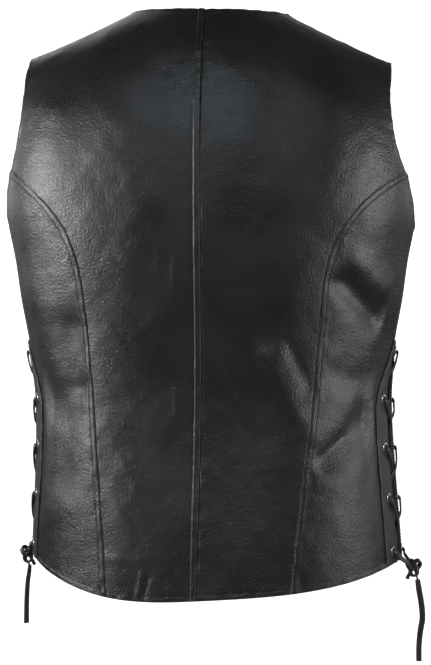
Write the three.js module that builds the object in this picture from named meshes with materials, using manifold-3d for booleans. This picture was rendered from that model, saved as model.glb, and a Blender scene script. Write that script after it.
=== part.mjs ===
// A black leather vest with laced sides, hollow and upright as it hangs on a wearer's shoulders.
// Millimetres. +Z is up, -Y is the wearer's front and +X the wearer's left.
// The origin lies between the shoulders, level with the neck ends of the shoulder seams.
// The garment is worked out on the wearer's left and mirrored. "side" is 1 for the wearer's left and
// -1 for the right, and "face" is 1 for the back and -1 for the front.
import * as THREE from "three";
import { mergeVertices } from "three/addons/utils/BufferGeometryUtils.js";
import Module from "manifold-3d";

const wasm = await Module();
wasm.setup();

// Leather
const LEATHER = 2; // thickness of a panel's wall
const BAND_LEATHER = 1.2; // thickness of an eyelet band
const SEAM_GAP = 0.3; // between neighbouring pieces
const LIE_GAP = 0.3; // between a panel and what lies on it

// Rings of the garment, from the shoulder blades to just below the hem. A ring's back half is
// |x / halfWidth| ** flat + |y / backDepth| ** point = 1: flat squares the back, point sharpens the sides.
const RINGS = [
  { z: -174, halfWidth: 216.5, backDepth: 126, frontDepth: 121, flat: 2.5, point: 2.3 },
  { z: -215, halfWidth: 216.3, backDepth: 125, frontDepth: 124, flat: 2.5, point: 2.2 },
  { z: -260, halfWidth: 208.2, backDepth: 121, frontDepth: 125, flat: 2.6, point: 2 },
  { z: -302, halfWidth: 202.3, backDepth: 115.5, frontDepth: 122, flat: 2.8, point: 1.8 },
  { z: -345, halfWidth: 194.5, backDepth: 110, frontDepth: 118, flat: 3, point: 1.65 },
  { z: -398, halfWidth: 189, backDepth: 106.5, frontDepth: 116, flat: 3.1, point: 1.58 },
  { z: -440, halfWidth: 189, backDepth: 107, frontDepth: 116.5, flat: 3.1, point: 1.56 },
  { z: -493, halfWidth: 191.5, backDepth: 111, frontDepth: 118, flat: 3, point: 1.6 },
  { z: -546, halfWidth: 194.8, backDepth: 116.5, frontDepth: 119.5, flat: 2.9, point: 1.65 },
  { z: -620, halfWidth: 199, backDepth: 123, frontDepth: 121, flat: 2.8, point: 1.7 },
];

// Shoulders: above ARCH_Z the back and the front rise and meet along a sloping ridge.
const ARCH_Z = RINGS[0].z;
const ARCH_POWER = 2.3;
const NECK_HALF_WIDTH = 81;
const SHOULDER_TIP_X = 191;
const RIDGE_SLOPE = 0.52; // at the neck
const RIDGE_EASING = 0.06; // how much the slope eases towards the tip
const BACK_NECK_Z = -2; // at the centre of the back

// Hem: lowest at the centre of the back and of the front, highest at the sides
const HEM = { sideZ: -574, drop: 34.5, power: 2.8 };

// How the vest hangs: below SWING_TOP it turns a little on the body and leans to the wearer's right, and
// its hem sways down left of the middle and up right of it. Above SWING_TOP it tilts up to the left.
const SWING_TOP = -320;
const SWING_BOTTOM = -610;
const HEM_TURN = THREE.MathUtils.degToRad(4);
const HEM_LEAN = -5;
const HEM_SWAY = { depth: 3.2, halfWave: 160 };
const SHOULDER_TILT = 0.0245;

// Curved seam of the back, from the hem up to the armhole
const PANEL_SEAM = { hemX: 100, hemZ: -606, slope: 0.0906, curveFrom: -310, curveX: 69.8, power: 2.9 };

// Armholes. x follows the climb above ARCH_Z, and z rises as a power of y between the underarm and ARCH_Z.
const UNDERARM_Z = -223;
const BACK_ARMHOLE = { extraX: 17.9, power: 3, lowerPower: 2 };
const FRONT_ARMHOLE = { startY: -62, scoop: 8, power: 1.2, lowerPower: 3 };

// V neck and closing. The left front lies over the right one.
const V_Z = -262;
const V_POWER = 1.4;
const OVERLAP = 12.5; // each front reaches this far past the middle
const LIFT = 2.5; // of the left front, from the right one's surface
const LIFT_FROM_X = 48;
const LIFT_TO_X = 90;
const SNAP_HEIGHTS = [-285, -372, -459, -546];
const SNAP = { capR: 7.5, capRise: 2.2, shankR: 2.5, holeR: 3, footR: 5, footDrop: 0.9, sides: 12 };
const SNAP_DOME = [
  { radius: 1, rise: 0 },
  { radius: 0.92, rise: 0.6 },
  { radius: 0.6, rise: 0.9 },
  { radius: 0, rise: 1 },
]; // shares of capR and capRise

// Laced sides: each has a slit with a band of eyelets along both of its edges.
const SLIT_TOP = -345;
const SLIT_OPEN_BY = -400;
const SLIT_HALF_GAP = 10;
const SLIT_Y = 8; // the slit lies this far behind the side's widest line
const BAND_WIDTH = 24;
const BACK_BAND_TAPER = { from: -415, to: -347, share: 0.86, power: 1.25 };
const EYELET_INSET = 10; // from the slit's edge
const EYELET_HEIGHTS = [-356, -406.5, -456, -508, -562];
const EYELET = { holeR: 2.6, barrelR: 3.2, flangeR: 5.2, washerR: 4.6, sides: 8 };
const EYELET_CLEARANCE = 0.45;
const FLANGE_CLEARANCE = 0.5;
const WASHER_CLEARANCE = 0.7;
const METAL = 0.6; // thickness of flange and washer

// Lace
const LACE_R = 1.9;
const LACE_SIDES = 6;
const LACE_GAP = 0.35; // between the lace and what it passes
const CROSSING_LIFT = 0.3; // more, where the lace passes the slit's edge
const EDGE_SHARES = { past: 0.03, before: 0.06 }; // of a strand's way, from where it passes the slit's edges
const KNOT = { ringR: 6.4, barR: 2.6, tall: 1.28, exitDrop: 13, tilt: 0.35, loops: 3 };
const KNOT_PLACES = {
  left: { z: -575, out: 6, exitAway: -2, enteredAt: 6.3 },
  right: { z: -579, out: 15, exitAway: 4, enteredAt: 12.3 },
};
const KNOT_ENTRY = 0.72; // share of the way from the last eyelet to the knot at which a strand enters it
const STUB = { inward: 7.5, down: 12.8 }; // end of the lace's short end, from the knot's middle

// Free ends, from where they leave the knot: how far down and how far away from the body
const LACE_ENDS = {
  left: [
    { down: 0, away: 0 },
    { down: 8, away: 0.8 },
    { down: 16, away: 2 },
    { down: 26, away: 2.8 },
    { down: 38, away: 3.3 },
    { down: 50, away: 3.5 },
    { down: 62, away: 3.6 },
  ],
  right: [
    { down: 0, away: 0 },
    { down: 10, away: 1.5 },
    { down: 20, away: 3.3 },
    { down: 30, away: 4.7 },
    { down: 41, away: 5.1 },
    { down: 51, away: 3.4 },
    { down: 62, away: 2 },
    { down: 74, away: 1.4 },
    { down: 85, away: 1.5 },
  ],
};
const END_R = 2;
const END_SIDES = 8;
const END_STEP = 9;
const END_GAP = 0.6; // below the knot's tail

// Large folds. Each is a soft trough, or a ridge where depth is negative, along a straight line from
// (x1, z1) to (x2, z2) in front view.
const FOLDS = [
  { side: -1, face: 1, x1: 140, z1: -281, x2: 184, z2: -330, width: 13, depth: 6.5 },
  { side: -1, face: 1, x1: 152, z1: -258, x2: 188, z2: -296, width: 13, depth: -3 },
  { side: -1, face: 1, x1: 122, z1: -478, x2: 176, z2: -412, width: 16, depth: 5 },
  { side: -1, face: 1, x1: 132, z1: -378, x2: 172, z2: -392, width: 16, depth: 3 },
  { side: -1, face: 1, x1: 68, z1: -348, x2: 112, z2: -452, width: 15, depth: -3.5 },
  { side: 1, face: 1, x1: 138, z1: -322, x2: 133, z2: -402, width: 15, depth: 4.5 },
  { side: 1, face: 1, x1: 150, z1: -420, x2: 150, z2: -500, width: 18, depth: 3 },
  { side: 1, face: -1, x1: 142, z1: -300, x2: 176, z2: -352, width: 14, depth: 4.5 },
  { side: -1, face: -1, x1: 136, z1: -298, x2: 174, z2: -344, width: 14, depth: 4 },
  { side: 1, face: -1, x1: 92, z1: -398, x2: 160, z2: -440, width: 16, depth: 3.5 },
  { side: -1, face: -1, x1: 88, z1: -420, x2: 158, z2: -452, width: 16, depth: 3.5 },
];
const FOLD_KEEPS_OFF = 34; // from the slit's middle, where the bands lie flat
const FOLD_FADE = 14;

// Rows and columns of the panels' faces
const ROWS_BESIDE_SLIT = 10;
const ROWS_BELOW_ARM = 7;
const ROWS_ON_SHOULDER = 7;
const NECK_COLUMNS = 6;
const SHOULDER_COLUMNS = 6;
const SIDE_COLUMNS = 7;

const LEATHER_BLACK = { color: 0x1b1c1e, roughness: 0.5, metalness: 0 };
const BAND_BLACK = { color: 0x121314, roughness: 0.45, metalness: 0 };
const LACE_BLACK = { color: 0x0e0e0f, roughness: 0.6, metalness: 0 };
const NICKEL = { color: 0xc9c6bd, roughness: 0.25, metalness: 1 };

const lerp = THREE.MathUtils.lerp;
const smooth = (share) => THREE.MathUtils.smoothstep(share, 0, 1);
const spaced = (from, to, count) => Array.from({ length: count }, (_, i) => lerp(from, to, i / (count - 1)));

// One column of RINGS at height z, as a smooth curve through the rows that starts level at the top
function ringValue(column, z) {
  const last = RINGS.length - 1;
  if (z >= RINGS[0].z) return RINGS[0][column];
  const slopeOver = (i, k) => (RINGS[k][column] - RINGS[i][column]) / (RINGS[k].z - RINGS[i].z);
  const slopeAt = (i) => (i === 0 ? 0 : slopeOver(i - 1, Math.min(i + 1, last)));
  const i = Math.min(RINGS.filter((row) => row.z > z).length, last) - 1;
  const step = RINGS[i + 1].z - RINGS[i].z;
  const t = (z - RINGS[i].z) / step;
  const passed = 3 * t ** 2 - 2 * t ** 3;
  const bend = slopeAt(i) * (t ** 3 - 2 * t ** 2 + t) + slopeAt(i + 1) * (t ** 3 - t ** 2);
  return lerp(RINGS[i][column], RINGS[i + 1][column], passed) + bend * step;
}

const depthOf = (face, z) => ringValue(face > 0 ? "backDepth" : "frontDepth", z);
const faceOf = (y) => (y >= 0 ? 1 : -1);

// The form's y on one face, at distance x from the middle and height z
function depthAt(x, z, face) {
  const across = Math.min(1, Math.abs(x) / ringValue("halfWidth", z)) ** ringValue("flat", z);
  return face * depthOf(face, z) * (1 - across) ** (1 / ringValue("point", z));
}

// The form's half width at depth y and height z
function widthAt(y, z) {
  const deep = Math.min(1, Math.abs(y) / depthOf(faceOf(y), z)) ** ringValue("point", z);
  return ringValue("halfWidth", z) * (1 - deep) ** (1 / ringValue("flat", z));
}

const sidePoint = (y, z) => new THREE.Vector3(widthAt(y, z), y, z);

// The turn of a ring's point is 0 at the centre of the back, 1 at the side and 2 at the centre of the front.
function turnAtX(x, z, face) {
  const across = Math.min(1, x / ringValue("halfWidth", z)) ** (ringValue("flat", z) / 2);
  const turn = Math.asin(across) / (Math.PI / 2);
  return face > 0 ? turn : 2 - turn;
}

function turnAtY(y, z) {
  const deep = Math.min(1, Math.abs(y) / depthOf(faceOf(y), z)) ** (ringValue("point", z) / 2);
  const turn = Math.acos(deep) / (Math.PI / 2);
  return y >= 0 ? turn : 2 - turn;
}

function ringPoint(turn, z) {
  const angle = (turn * Math.PI) / 2;
  const face = turn <= 1 ? 1 : -1;
  const x = ringValue("halfWidth", z) * Math.sin(angle) ** (2 / ringValue("flat", z));
  const y = face * depthOf(face, z) * Math.abs(Math.cos(angle)) ** (2 / ringValue("point", z));
  return new THREE.Vector3(x, y, z);
}

// Height of the shoulder ridge at distance x from the middle
function ridgeZ(x) {
  const past = x - NECK_HALF_WIDTH;
  if (past < 0) return (RIDGE_SLOPE / (2 * NECK_HALF_WIDTH)) * (NECK_HALF_WIDTH ** 2 - x ** 2);
  return -RIDGE_SLOPE * past + (RIDGE_EASING * past ** 2) / (SHOULDER_TIP_X - NECK_HALF_WIDTH);
}

// A point of the form above ARCH_Z. climb runs from 0 at ARCH_Z to 1 at the ridge.
function shoulderPoint(x, climb, face) {
  const height = 1 - (1 - climb) ** 2;
  const rounding = height > 0.9999 ? ARCH_POWER : (1 - height ** ARCH_POWER) / (1 - height);
  const y = depthAt(x, ARCH_Z, face) * (1 - climb) * Math.sqrt(rounding);
  return new THREE.Vector3(x, y, lerp(ARCH_Z, ridgeZ(Math.abs(x)), height));
}

// The climb at which the form above ARCH_Z has height z
const climbAt = (x, z) => 1 - Math.sqrt(Math.max(0, 1 - (z - ARCH_Z) / (ridgeZ(Math.abs(x)) - ARCH_Z)));

// Is 0 on the form, less inside it and more outside it.
function formValue(x, y, z) {
  if (z < ARCH_Z) {
    const across = Math.abs(x) / ringValue("halfWidth", z);
    const deep = Math.abs(y) / depthOf(faceOf(y), z);
    return across ** ringValue("flat", z) + deep ** ringValue("point", z) - 1;
  }
  const high = (z - ARCH_Z) / (ridgeZ(Math.abs(x)) - ARCH_Z);
  return (y / depthAt(x, ARCH_Z, faceOf(y))) ** 2 + high ** ARCH_POWER - 1;
}

function formNormal({ x, y, z }) {
  const step = 0.05;
  return new THREE.Vector3(
    formValue(x + step, y, z) - formValue(x - step, y, z),
    formValue(x, y + step, z) - formValue(x, y - step, z),
    formValue(x, y, z + step) - formValue(x, y, z - step),
  ).normalize();
}

// The vest's turn, lean, sway and tilt on the body
function hang({ x, y, z }) {
  const share = smooth((SWING_TOP - z) / (SWING_TOP - SWING_BOTTOM));
  const [cosine, sine] = [Math.cos(HEM_TURN * share), Math.sin(HEM_TURN * share)];
  const sway = HEM_SWAY.depth * Math.sin((Math.PI * x) / HEM_SWAY.halfWave) * share;
  const tilt = SHOULDER_TILT * x * smooth((z - SWING_TOP) / -SWING_TOP);
  return new THREE.Vector3(x * cosine + y * sine + HEM_LEAN * share, y * cosine - x * sine, z - sway + tilt);
}

function foldDepth({ x, y, z }, side) {
  let depth = 0;
  for (const fold of FOLDS) {
    if (fold.side !== side || fold.face !== faceOf(y)) continue;
    const line = new THREE.Vector2(fold.x2 - fold.x1, fold.z2 - fold.z1);
    const from = new THREE.Vector2(x - fold.x1, z - fold.z1);
    const off = from.cross(line) / line.length();
    const along = from.dot(line) / line.lengthSq();
    const past = Math.max(0, Math.abs(along - 0.5) - 0.35) * line.length();
    depth += fold.depth * Math.exp(-((off / fold.width) ** 2) - (past / fold.width) ** 2);
  }
  return depth;
}

const sideY = (z) => SLIT_Y * smooth((UNDERARM_Z - z) / (UNDERARM_Z - SLIT_TOP));

// A place on the garment: its point and the outward normal there, mirrored to its side and hung.
// point is on the form, lift is that of the front it belongs to, and out moves it off the surface.
function place(point, side, lift = 0, out = 0) {
  const normal = formNormal(point);
  const beyondBands = smooth((Math.abs(point.y - sideY(point.z)) - FOLD_KEEPS_OFF) / FOLD_FADE);
  const lifted = lift * (1 - smooth((Math.abs(point.x) - LIFT_FROM_X) / (LIFT_TO_X - LIFT_FROM_X)));
  const at = point.clone().addScaledVector(normal, lifted - foldDepth(point, side) * beyondBands + out);
  const here = hang(at.clone().setX(side * at.x));
  const beyond = at.add(normal);
  const there = hang(beyond.setX(side * beyond.x));
  return { point: here, normal: there.sub(here).normalize() };
}

// Seams, edges and the slit

function hemZ(x) {
  const across = Math.min(1, Math.abs(x) / ringValue("halfWidth", HEM.sideZ));
  return HEM.sideZ - HEM.drop * (1 - across ** HEM.power);
}

function panelSeamX(z) {
  const curve = Math.max(0, (z - PANEL_SEAM.curveFrom) / (ARCH_Z - PANEL_SEAM.curveFrom)) ** PANEL_SEAM.power;
  return PANEL_SEAM.hemX + PANEL_SEAM.slope * (z - PANEL_SEAM.hemZ) + PANEL_SEAM.curveX * curve;
}

// The front has no such seam, but its rows bend along a line like it, which ends at the armhole too.
const FRONT_CORNER_X = widthAt(FRONT_ARMHOLE.startY, ARCH_Z);
const seamX = (z, face) => panelSeamX(z) * (face > 0 ? 1 : FRONT_CORNER_X / panelSeamX(ARCH_Z));
const seamHemZ = (face) => hemZ(seamX(PANEL_SEAM.hemZ, face));

function slitEdgeY(z, face) {
  return sideY(z) + face * SLIT_HALF_GAP * smooth((SLIT_TOP - z) / (SLIT_TOP - SLIT_OPEN_BY));
}

// The y that is reached by going a distance from startY along the ring at height z
function yAlong(z, startY, distance) {
  const steps = 12;
  let y = startY;
  for (let i = 0; i < steps; i++) {
    const slope = widthAt(y + 0.5, z) - widthAt(y - 0.5, z);
    y += distance / steps / Math.hypot(1, slope);
  }
  return y;
}

function bandWidth(z, face) {
  if (face < 0) return BAND_WIDTH;
  const { from, to, share, power } = BACK_BAND_TAPER;
  const narrowed = 1 - share * THREE.MathUtils.clamp((z - from) / (to - from), 0, 1) ** power;
  return BAND_WIDTH * lerp(narrowed, 1, smooth((z - SLIT_TOP) / (UNDERARM_Z - SLIT_TOP)));
}

function backArmholeX(climb) {
  return SHOULDER_TIP_X + BACK_ARMHOLE.extraX * (1 - climb) ** (2 * BACK_ARMHOLE.power);
}

function frontArmholeX(climb) {
  const below = (1 - climb) ** 2;
  const spread = (FRONT_CORNER_X - SHOULDER_TIP_X) * below ** FRONT_ARMHOLE.power;
  return SHOULDER_TIP_X + spread - FRONT_ARMHOLE.scoop * Math.sin(Math.PI * below) ** 2;
}

// Height of the lower armhole at depth y
function underarmZ(y, face) {
  const cornerY = face > 0 ? depthAt(backArmholeX(0), ARCH_Z, 1) : FRONT_ARMHOLE.startY;
  const { lowerPower } = face > 0 ? BACK_ARMHOLE : FRONT_ARMHOLE;
  return lerp(UNDERARM_Z, ARCH_Z, Math.abs(y / cornerY) ** lowerPower);
}

function frontEdgeX(z) {
  const up = THREE.MathUtils.clamp((z - V_Z) / -V_Z, 0, 1);
  return lerp(-OVERLAP, NECK_HALF_WIDTH, 1 - (1 - up) ** V_POWER);
}

function backNeckClimb(x) {
  if (x >= NECK_HALF_WIDTH) return 1;
  return climbAt(x, BACK_NECK_Z * (1 - (x / NECK_HALF_WIDTH) ** 2));
}

// Panels, as rows of points on the form from the hem up

const SLIT_SHARE = (SLIT_TOP - HEM.sideZ) / (UNDERARM_Z - HEM.sideZ);
const RISES = [
  ...spaced(0, SLIT_SHARE, ROWS_BESIDE_SLIT + 1),
  ...spaced(SLIT_SHARE, 1, ROWS_BELOW_ARM + 1).slice(1),
];
const CLIMBS = spaced(0, 1, ROWS_ON_SHOULDER + 1).slice(1);

// Columns crowd towards the armhole and the neck's corner, where the form bends most.
const quarterSines = (count) => spaced(0, Math.PI / 2, count).map(Math.sin);

function centreBackRows() {
  const neckXs = quarterSines(NECK_COLUMNS).map((share) => share * NECK_HALF_WIDTH);
  const shoulderShares = quarterSines(SHOULDER_COLUMNS).slice(1);
  const topXs = [...neckXs, ...shoulderShares.map((share) => lerp(NECK_HALF_WIDTH, SHOULDER_TIP_X, share))];
  const shares = topXs.map((x) => x / SHOULDER_TIP_X);
  const below = RISES.map((rise) => {
    const width = panelSeamX(lerp(seamHemZ(1), ARCH_Z, rise));
    return shares.map((share) => {
      const z = lerp(hemZ(share * PANEL_SEAM.hemX), ARCH_Z, rise);
      return new THREE.Vector3(share * width, depthAt(share * width, z, 1), z);
    });
  });
  const above = CLIMBS.map((climb) =>
    shares.map((share, i) => shoulderPoint(share * backArmholeX(climb), climb * backNeckClimb(topXs[i]), 1)),
  );
  return [...below, ...above];
}

// The turns of a side's columns in one row, from the curved seam or the front's line like it to the
// slit. The last three are the band's inner edge, the line of the eyelets and the slit's edge.
function sideTurns(rise, face) {
  const edgeZ = lerp(HEM.sideZ, UNDERARM_Z, rise);
  const seamZ = lerp(seamHemZ(face), ARCH_Z, rise);
  const turnFromEdge = (distance) => turnAtY(yAlong(edgeZ, slitEdgeY(edgeZ, face), face * distance), edgeZ);
  const width = bandWidth(edgeZ, face);
  const seamTurn = turnAtX(seamX(seamZ, face), seamZ, face);
  const columns = spaced(seamTurn, turnFromEdge(width), SIDE_COLUMNS);
  return [...columns, turnFromEdge(Math.min(EYELET_INSET, width / 2)), turnFromEdge(0)];
}

function sideRows(face) {
  const hemHeights = sideTurns(0, face).map((turn) => hemZ(ringPoint(turn, HEM.sideZ).x));
  const armholeHeights = sideTurns(1, face).map((turn) => underarmZ(ringPoint(turn, ARCH_Z).y, face));
  hemHeights[0] = seamHemZ(face);
  hemHeights.splice(-1, 1, HEM.sideZ);
  return RISES.map((rise) =>
    sideTurns(rise, face).map((turn, i) => ringPoint(turn, lerp(hemHeights[i], armholeHeights[i], rise))),
  );
}

// The side's columns end at the armhole, so the rows above ARCH_Z are shorter.
function frontRows() {
  const shares = quarterSines(SHOULDER_COLUMNS);
  const hemHalf = seamX(PANEL_SEAM.hemZ, -1);
  const sides = sideRows(-1);
  const below = RISES.map((rise, i) => {
    const width = seamX(lerp(seamHemZ(-1), ARCH_Z, rise), -1);
    const openX = frontEdgeX(lerp(hemZ(OVERLAP), ARCH_Z, rise));
    const centre = shares.map((share) => {
      const z = lerp(hemZ(lerp(-OVERLAP, hemHalf, share)), ARCH_Z, rise);
      const x = lerp(openX, width, share);
      return new THREE.Vector3(x, depthAt(x, z, -1), z);
    });
    return [...centre, ...sides[i].slice(1)];
  });
  const above = CLIMBS.map((climb) => {
    const edgeZ = lerp(ARCH_Z, 0, 1 - (1 - climb) ** 2);
    const edgeX = frontEdgeX(edgeZ);
    return shares.map((share) =>
      shoulderPoint(lerp(edgeX, frontArmholeX(climb), share), lerp(climbAt(edgeX, edgeZ), climb, share), -1),
    );
  });
  return [...below, ...above];
}

// The edges that only one of the quads has
function rimEdges(quads) {
  const edges = new Map();
  for (const quad of quads)
    quad.forEach((from, k) => {
      const to = quad[(k + 1) % 4];
      const key = [Math.min(from, to), Math.max(from, to)].join();
      if (edges.has(key)) edges.delete(key);
      else edges.set(key, { from, to, quad });
    });
  return [...edges.values()];
}

// How far each place on the rim moves in along the surface, so that neighbours stay a seam gap apart
function rimInsets(places, rim) {
  const inward = new Map();
  for (const { from, to, quad } of rim) {
    const along = places[to].point.clone().sub(places[from].point).normalize();
    const middle = new THREE.Vector3();
    for (const corner of quad) middle.addScaledVector(places[corner].point, 0.25);
    const across = middle.sub(places[from].point).projectOnPlane(along).normalize();
    for (const end of [from, to]) inward.set(end, [...(inward.get(end) ?? []), across]);
  }
  for (const [corner, [first, second]] of inward)
    inward.set(corner, first.clone().add(second).multiplyScalar(SEAM_GAP / 2 / (1 + first.dot(second))));
  return inward;
}

// A closed wall over rows of places, between two distances from them along their normals
function wall(rows, outer, inner) {
  const places = rows.flat();
  const starts = rows.map((_, i) => rows.slice(0, i).reduce((sum, row) => sum + row.length, 0));
  const quads = [];
  for (let i = 0; i + 1 < rows.length; i++)
    for (let j = 0; j + 1 < Math.min(rows[i].length, rows[i + 1].length); j++)
      quads.push([starts[i] + j, starts[i] + j + 1, starts[i + 1] + j + 1, starts[i + 1] + j]);
  const rim = rimEdges(quads);
  const insets = rimInsets(places, rim);
  const layer = (distance) =>
    places.map(({ point, normal }, i) => {
      const moved = point.clone().addScaledVector(normal, distance);
      return insets.has(i) ? moved.add(insets.get(i)) : moved;
    });
  const faces = [];
  const addQuad = (a, b, c, d) => faces.push(a, b, c, a, c, d);
  for (const [a, b, c, d] of quads) {
    addQuad(a, b, c, d);
    addQuad(places.length + a, places.length + d, places.length + c, places.length + b);
  }
  for (const { from, to } of rim) addQuad(to, from, places.length + from, places.length + to);
  const geometry = new THREE.BufferGeometry().setFromPoints([...layer(outer), ...layer(inner)]);
  geometry.setIndex(faces);
  return facingOut(geometry);
}

function facingOut(geometry) {
  const { position } = geometry.attributes;
  const corner = (i) => new THREE.Vector3().fromBufferAttribute(position, geometry.index.getX(i));
  let volume = 0;
  for (let i = 0; i < geometry.index.count; i += 3)
    volume += corner(i).dot(corner(i + 1).cross(corner(i + 2)));
  if (volume < 0) geometry.setIndex([...geometry.index.array].reverse());
  return geometry;
}

function toSolid(geometry) {
  const bare = geometry.clone();
  for (const name of Object.keys(bare.attributes)) if (name !== "position") bare.deleteAttribute(name);
  const merged = mergeVertices(bare, 1e-4);
  return new wasm.Manifold(
    new wasm.Mesh({
      numProp: 3,
      vertProperties: merged.attributes.position.array,
      triVerts: new Uint32Array(merged.index.array),
    }),
  );
}

function fromSolid(solid) {
  const mesh = solid.getMesh();
  return new THREE.BufferGeometry()
    .setAttribute("position", new THREE.BufferAttribute(mesh.vertProperties, 3))
    .setIndex(new THREE.BufferAttribute(mesh.triVerts, 1));
}

// Turns a geometry's Y axis to a place's normal and moves it there.
function seatedAt(geometry, { point, normal }) {
  geometry.applyQuaternion(new THREE.Quaternion().setFromUnitVectors(THREE.Object3D.DEFAULT_UP, normal));
  return geometry.translate(point.x, point.y, point.z);
}

// Cuts a round hole through a wall at each place.
function withHoles(geometry, places, radius, sides) {
  const drillLength = 14;
  let solid = toSolid(geometry);
  for (const spot of places) {
    const drill = new THREE.CylinderGeometry(radius, radius, drillLength, sides);
    solid = solid.subtract(toSolid(seatedAt(drill, spot)));
  }
  return fromSolid(solid);
}

function stripped(geometry) {
  geometry.deleteAttribute("normal");
  geometry.deleteAttribute("uv");
  return mergeVertices(geometry, 1e-4);
}

// A solid turned from a closed outline of [radius, height] pairs
function turned(outline, sides) {
  const points = [...outline, outline[0]].map(([radius, height]) => new THREE.Vector2(radius, height));
  return facingOut(stripped(new THREE.LatheGeometry(points, sides)));
}

// A closed round bar along points
function bar(points, radius, sides) {
  const last = points.length - 1;
  const corners = [];
  let sideways = new THREE.Vector3(0.3, 0.5, 0.8);
  points.forEach((point, i) => {
    const direction = points[Math.min(i + 1, last)].clone().sub(points[Math.max(i - 1, 0)]).normalize();
    sideways = sideways.projectOnPlane(direction).normalize();
    const across = direction.clone().cross(sideways);
    for (let k = 0; k < sides; k++) {
      const angle = (2 * Math.PI * k) / sides;
      const out = sideways.clone().multiplyScalar(Math.cos(angle)).addScaledVector(across, Math.sin(angle));
      corners.push(point.clone().addScaledVector(out, radius));
    }
  });
  const faces = [];
  for (let i = 0; i < last; i++)
    for (let k = 0; k < sides; k++) {
      const [a, b] = [i * sides + k, i * sides + ((k + 1) % sides)];
      faces.push(a, b, b + sides, a, b + sides, a + sides);
    }
  const end = last * sides;
  for (let k = 1; k + 1 < sides; k++) faces.push(0, k + 1, k, end, end + k, end + k + 1);
  const geometry = new THREE.BufferGeometry().setFromPoints(corners);
  geometry.setIndex(faces);
  return facingOut(geometry);
}

// An eyelet's spot in the band of one face
function eyeletSpot(face, z) {
  return { z, y: yAlong(z, slitEdgeY(z, face), face * EYELET_INSET) };
}

const FRONT_EYELETS = EYELET_HEIGHTS.map((z) => eyeletSpot(-1, z));
const BACK_EYELETS = EYELET_HEIGHTS.slice(1).map((z) => eyeletSpot(1, z));

function eyeletGeometry() {
  const bandTop = LIE_GAP + BAND_LEATHER + FLANGE_CLEARANCE;
  const panelInside = -LEATHER - WASHER_CLEARANCE;
  return turned(
    [
      [EYELET.holeR, panelInside - METAL],
      [EYELET.washerR, panelInside - METAL],
      [EYELET.barrelR, panelInside],
      [EYELET.barrelR, bandTop],
      [EYELET.flangeR, bandTop],
      [EYELET.flangeR - METAL, bandTop + METAL],
      [EYELET.holeR, bandTop + METAL],
    ],
    EYELET.sides,
  );
}

function snapGeometry() {
  const capBase = LIFT + LIE_GAP;
  const footTop = -LEATHER - LIE_GAP;
  const dome = SNAP_DOME.map(({ radius, rise }) => [radius * SNAP.capR, capBase + rise * SNAP.capRise]);
  return turned(
    [
      [0, footTop - SNAP.footDrop],
      [SNAP.footR, footTop - SNAP.footDrop],
      [SNAP.footR, footTop],
      [SNAP.shankR, footTop],
      [SNAP.shankR, capBase],
      ...dome,
    ],
    SNAP.sides,
  );
}

// Heights of the lace's middle line over the panel's outer surface
const OVER_BAND = LIE_GAP + BAND_LEATHER + LACE_GAP + LACE_R;
const OVER_FLANGE = OVER_BAND + FLANGE_CLEARANCE + METAL;
const UNDER_PANEL = -LEATHER - LACE_GAP - LACE_R;
const UNDER_WASHER = UNDER_PANEL - WASHER_CLEARANCE - METAL;
const CROSSING = LACE_R + LACE_GAP / 2; // each strand's distance from the surface where two cross

// The lace's way out of an eyelet, and its way in under one: along is measured from the eyelet's axis.
const WAY_OUT = [
  { along: 0, out: UNDER_WASHER + 2.6 },
  { along: 0, out: 0 },
  { along: 0, out: OVER_FLANGE - 2.4 },
  { along: 0.8, out: OVER_FLANGE - 0.7 },
  { along: 3, out: OVER_FLANGE + 0.3 },
  { along: 6.6, out: OVER_FLANGE + 0.1 },
];
const WAY_IN = [
  { along: 6.6, out: UNDER_WASHER - 0.2 },
  { along: 3, out: UNDER_WASHER - 0.3 },
  { along: 0.8, out: UNDER_WASHER + 0.7 },
];

// A point of the lace, at a share of the way from one spot to another and out from the surface
function lacePoint(side, from, to, share, out) {
  return place(sidePoint(lerp(from.y, to.y, share), lerp(from.z, to.z, share)), side, 0, out).point;
}

const apart = (from, to) => Math.hypot(to.y - from.y, to.z - from.z);

const outOfEyelet = (side, spot, next) =>
  WAY_OUT.map(({ along, out }) => lacePoint(side, spot, next, along / apart(spot, next), out));

const underEyelet = (side, last, spot) =>
  WAY_IN.map(({ along, out }) => lacePoint(side, last, spot, 1 - along / apart(last, spot), out));

// The share of the way from one spot to another at which it passes the slit's edge on a face
function shareAtEdge(from, to, face) {
  const beyond = (share) => lerp(from.y, to.y, share) > slitEdgeY(lerp(from.z, to.z, share), face);
  return spaced(0, 1, 101).find((share) => beyond(share) !== beyond(0));
}

// One strand, out of each of its eyelets in turn and across the slit to the next, then to the knot
function strand(side, spots, crossing, knot) {
  const points = [];
  spots.forEach((spot, i) => {
    const next = spots[i + 1] ?? knot;
    points.push(...outOfEyelet(side, spot, next));
    if (next === knot) return;
    const face = Math.sign(spot.y - next.y);
    const ownEdge = shareAtEdge(spot, next, face) + EDGE_SHARES.past;
    const farEdge = shareAtEdge(spot, next, -face) - EDGE_SHARES.before;
    points.push(lacePoint(side, spot, next, ownEdge, OVER_BAND + CROSSING_LIFT));
    points.push(lacePoint(side, spot, next, (ownEdge + farEdge) / 2, crossing));
    points.push(lacePoint(side, spot, next, farEdge, UNDER_PANEL - CROSSING_LIFT));
    points.push(...underEyelet(side, spot, next));
  });
  points.push(lacePoint(side, spots.at(-1), knot, KNOT_ENTRY, knot.enteredAt));
  return points;
}

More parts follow.
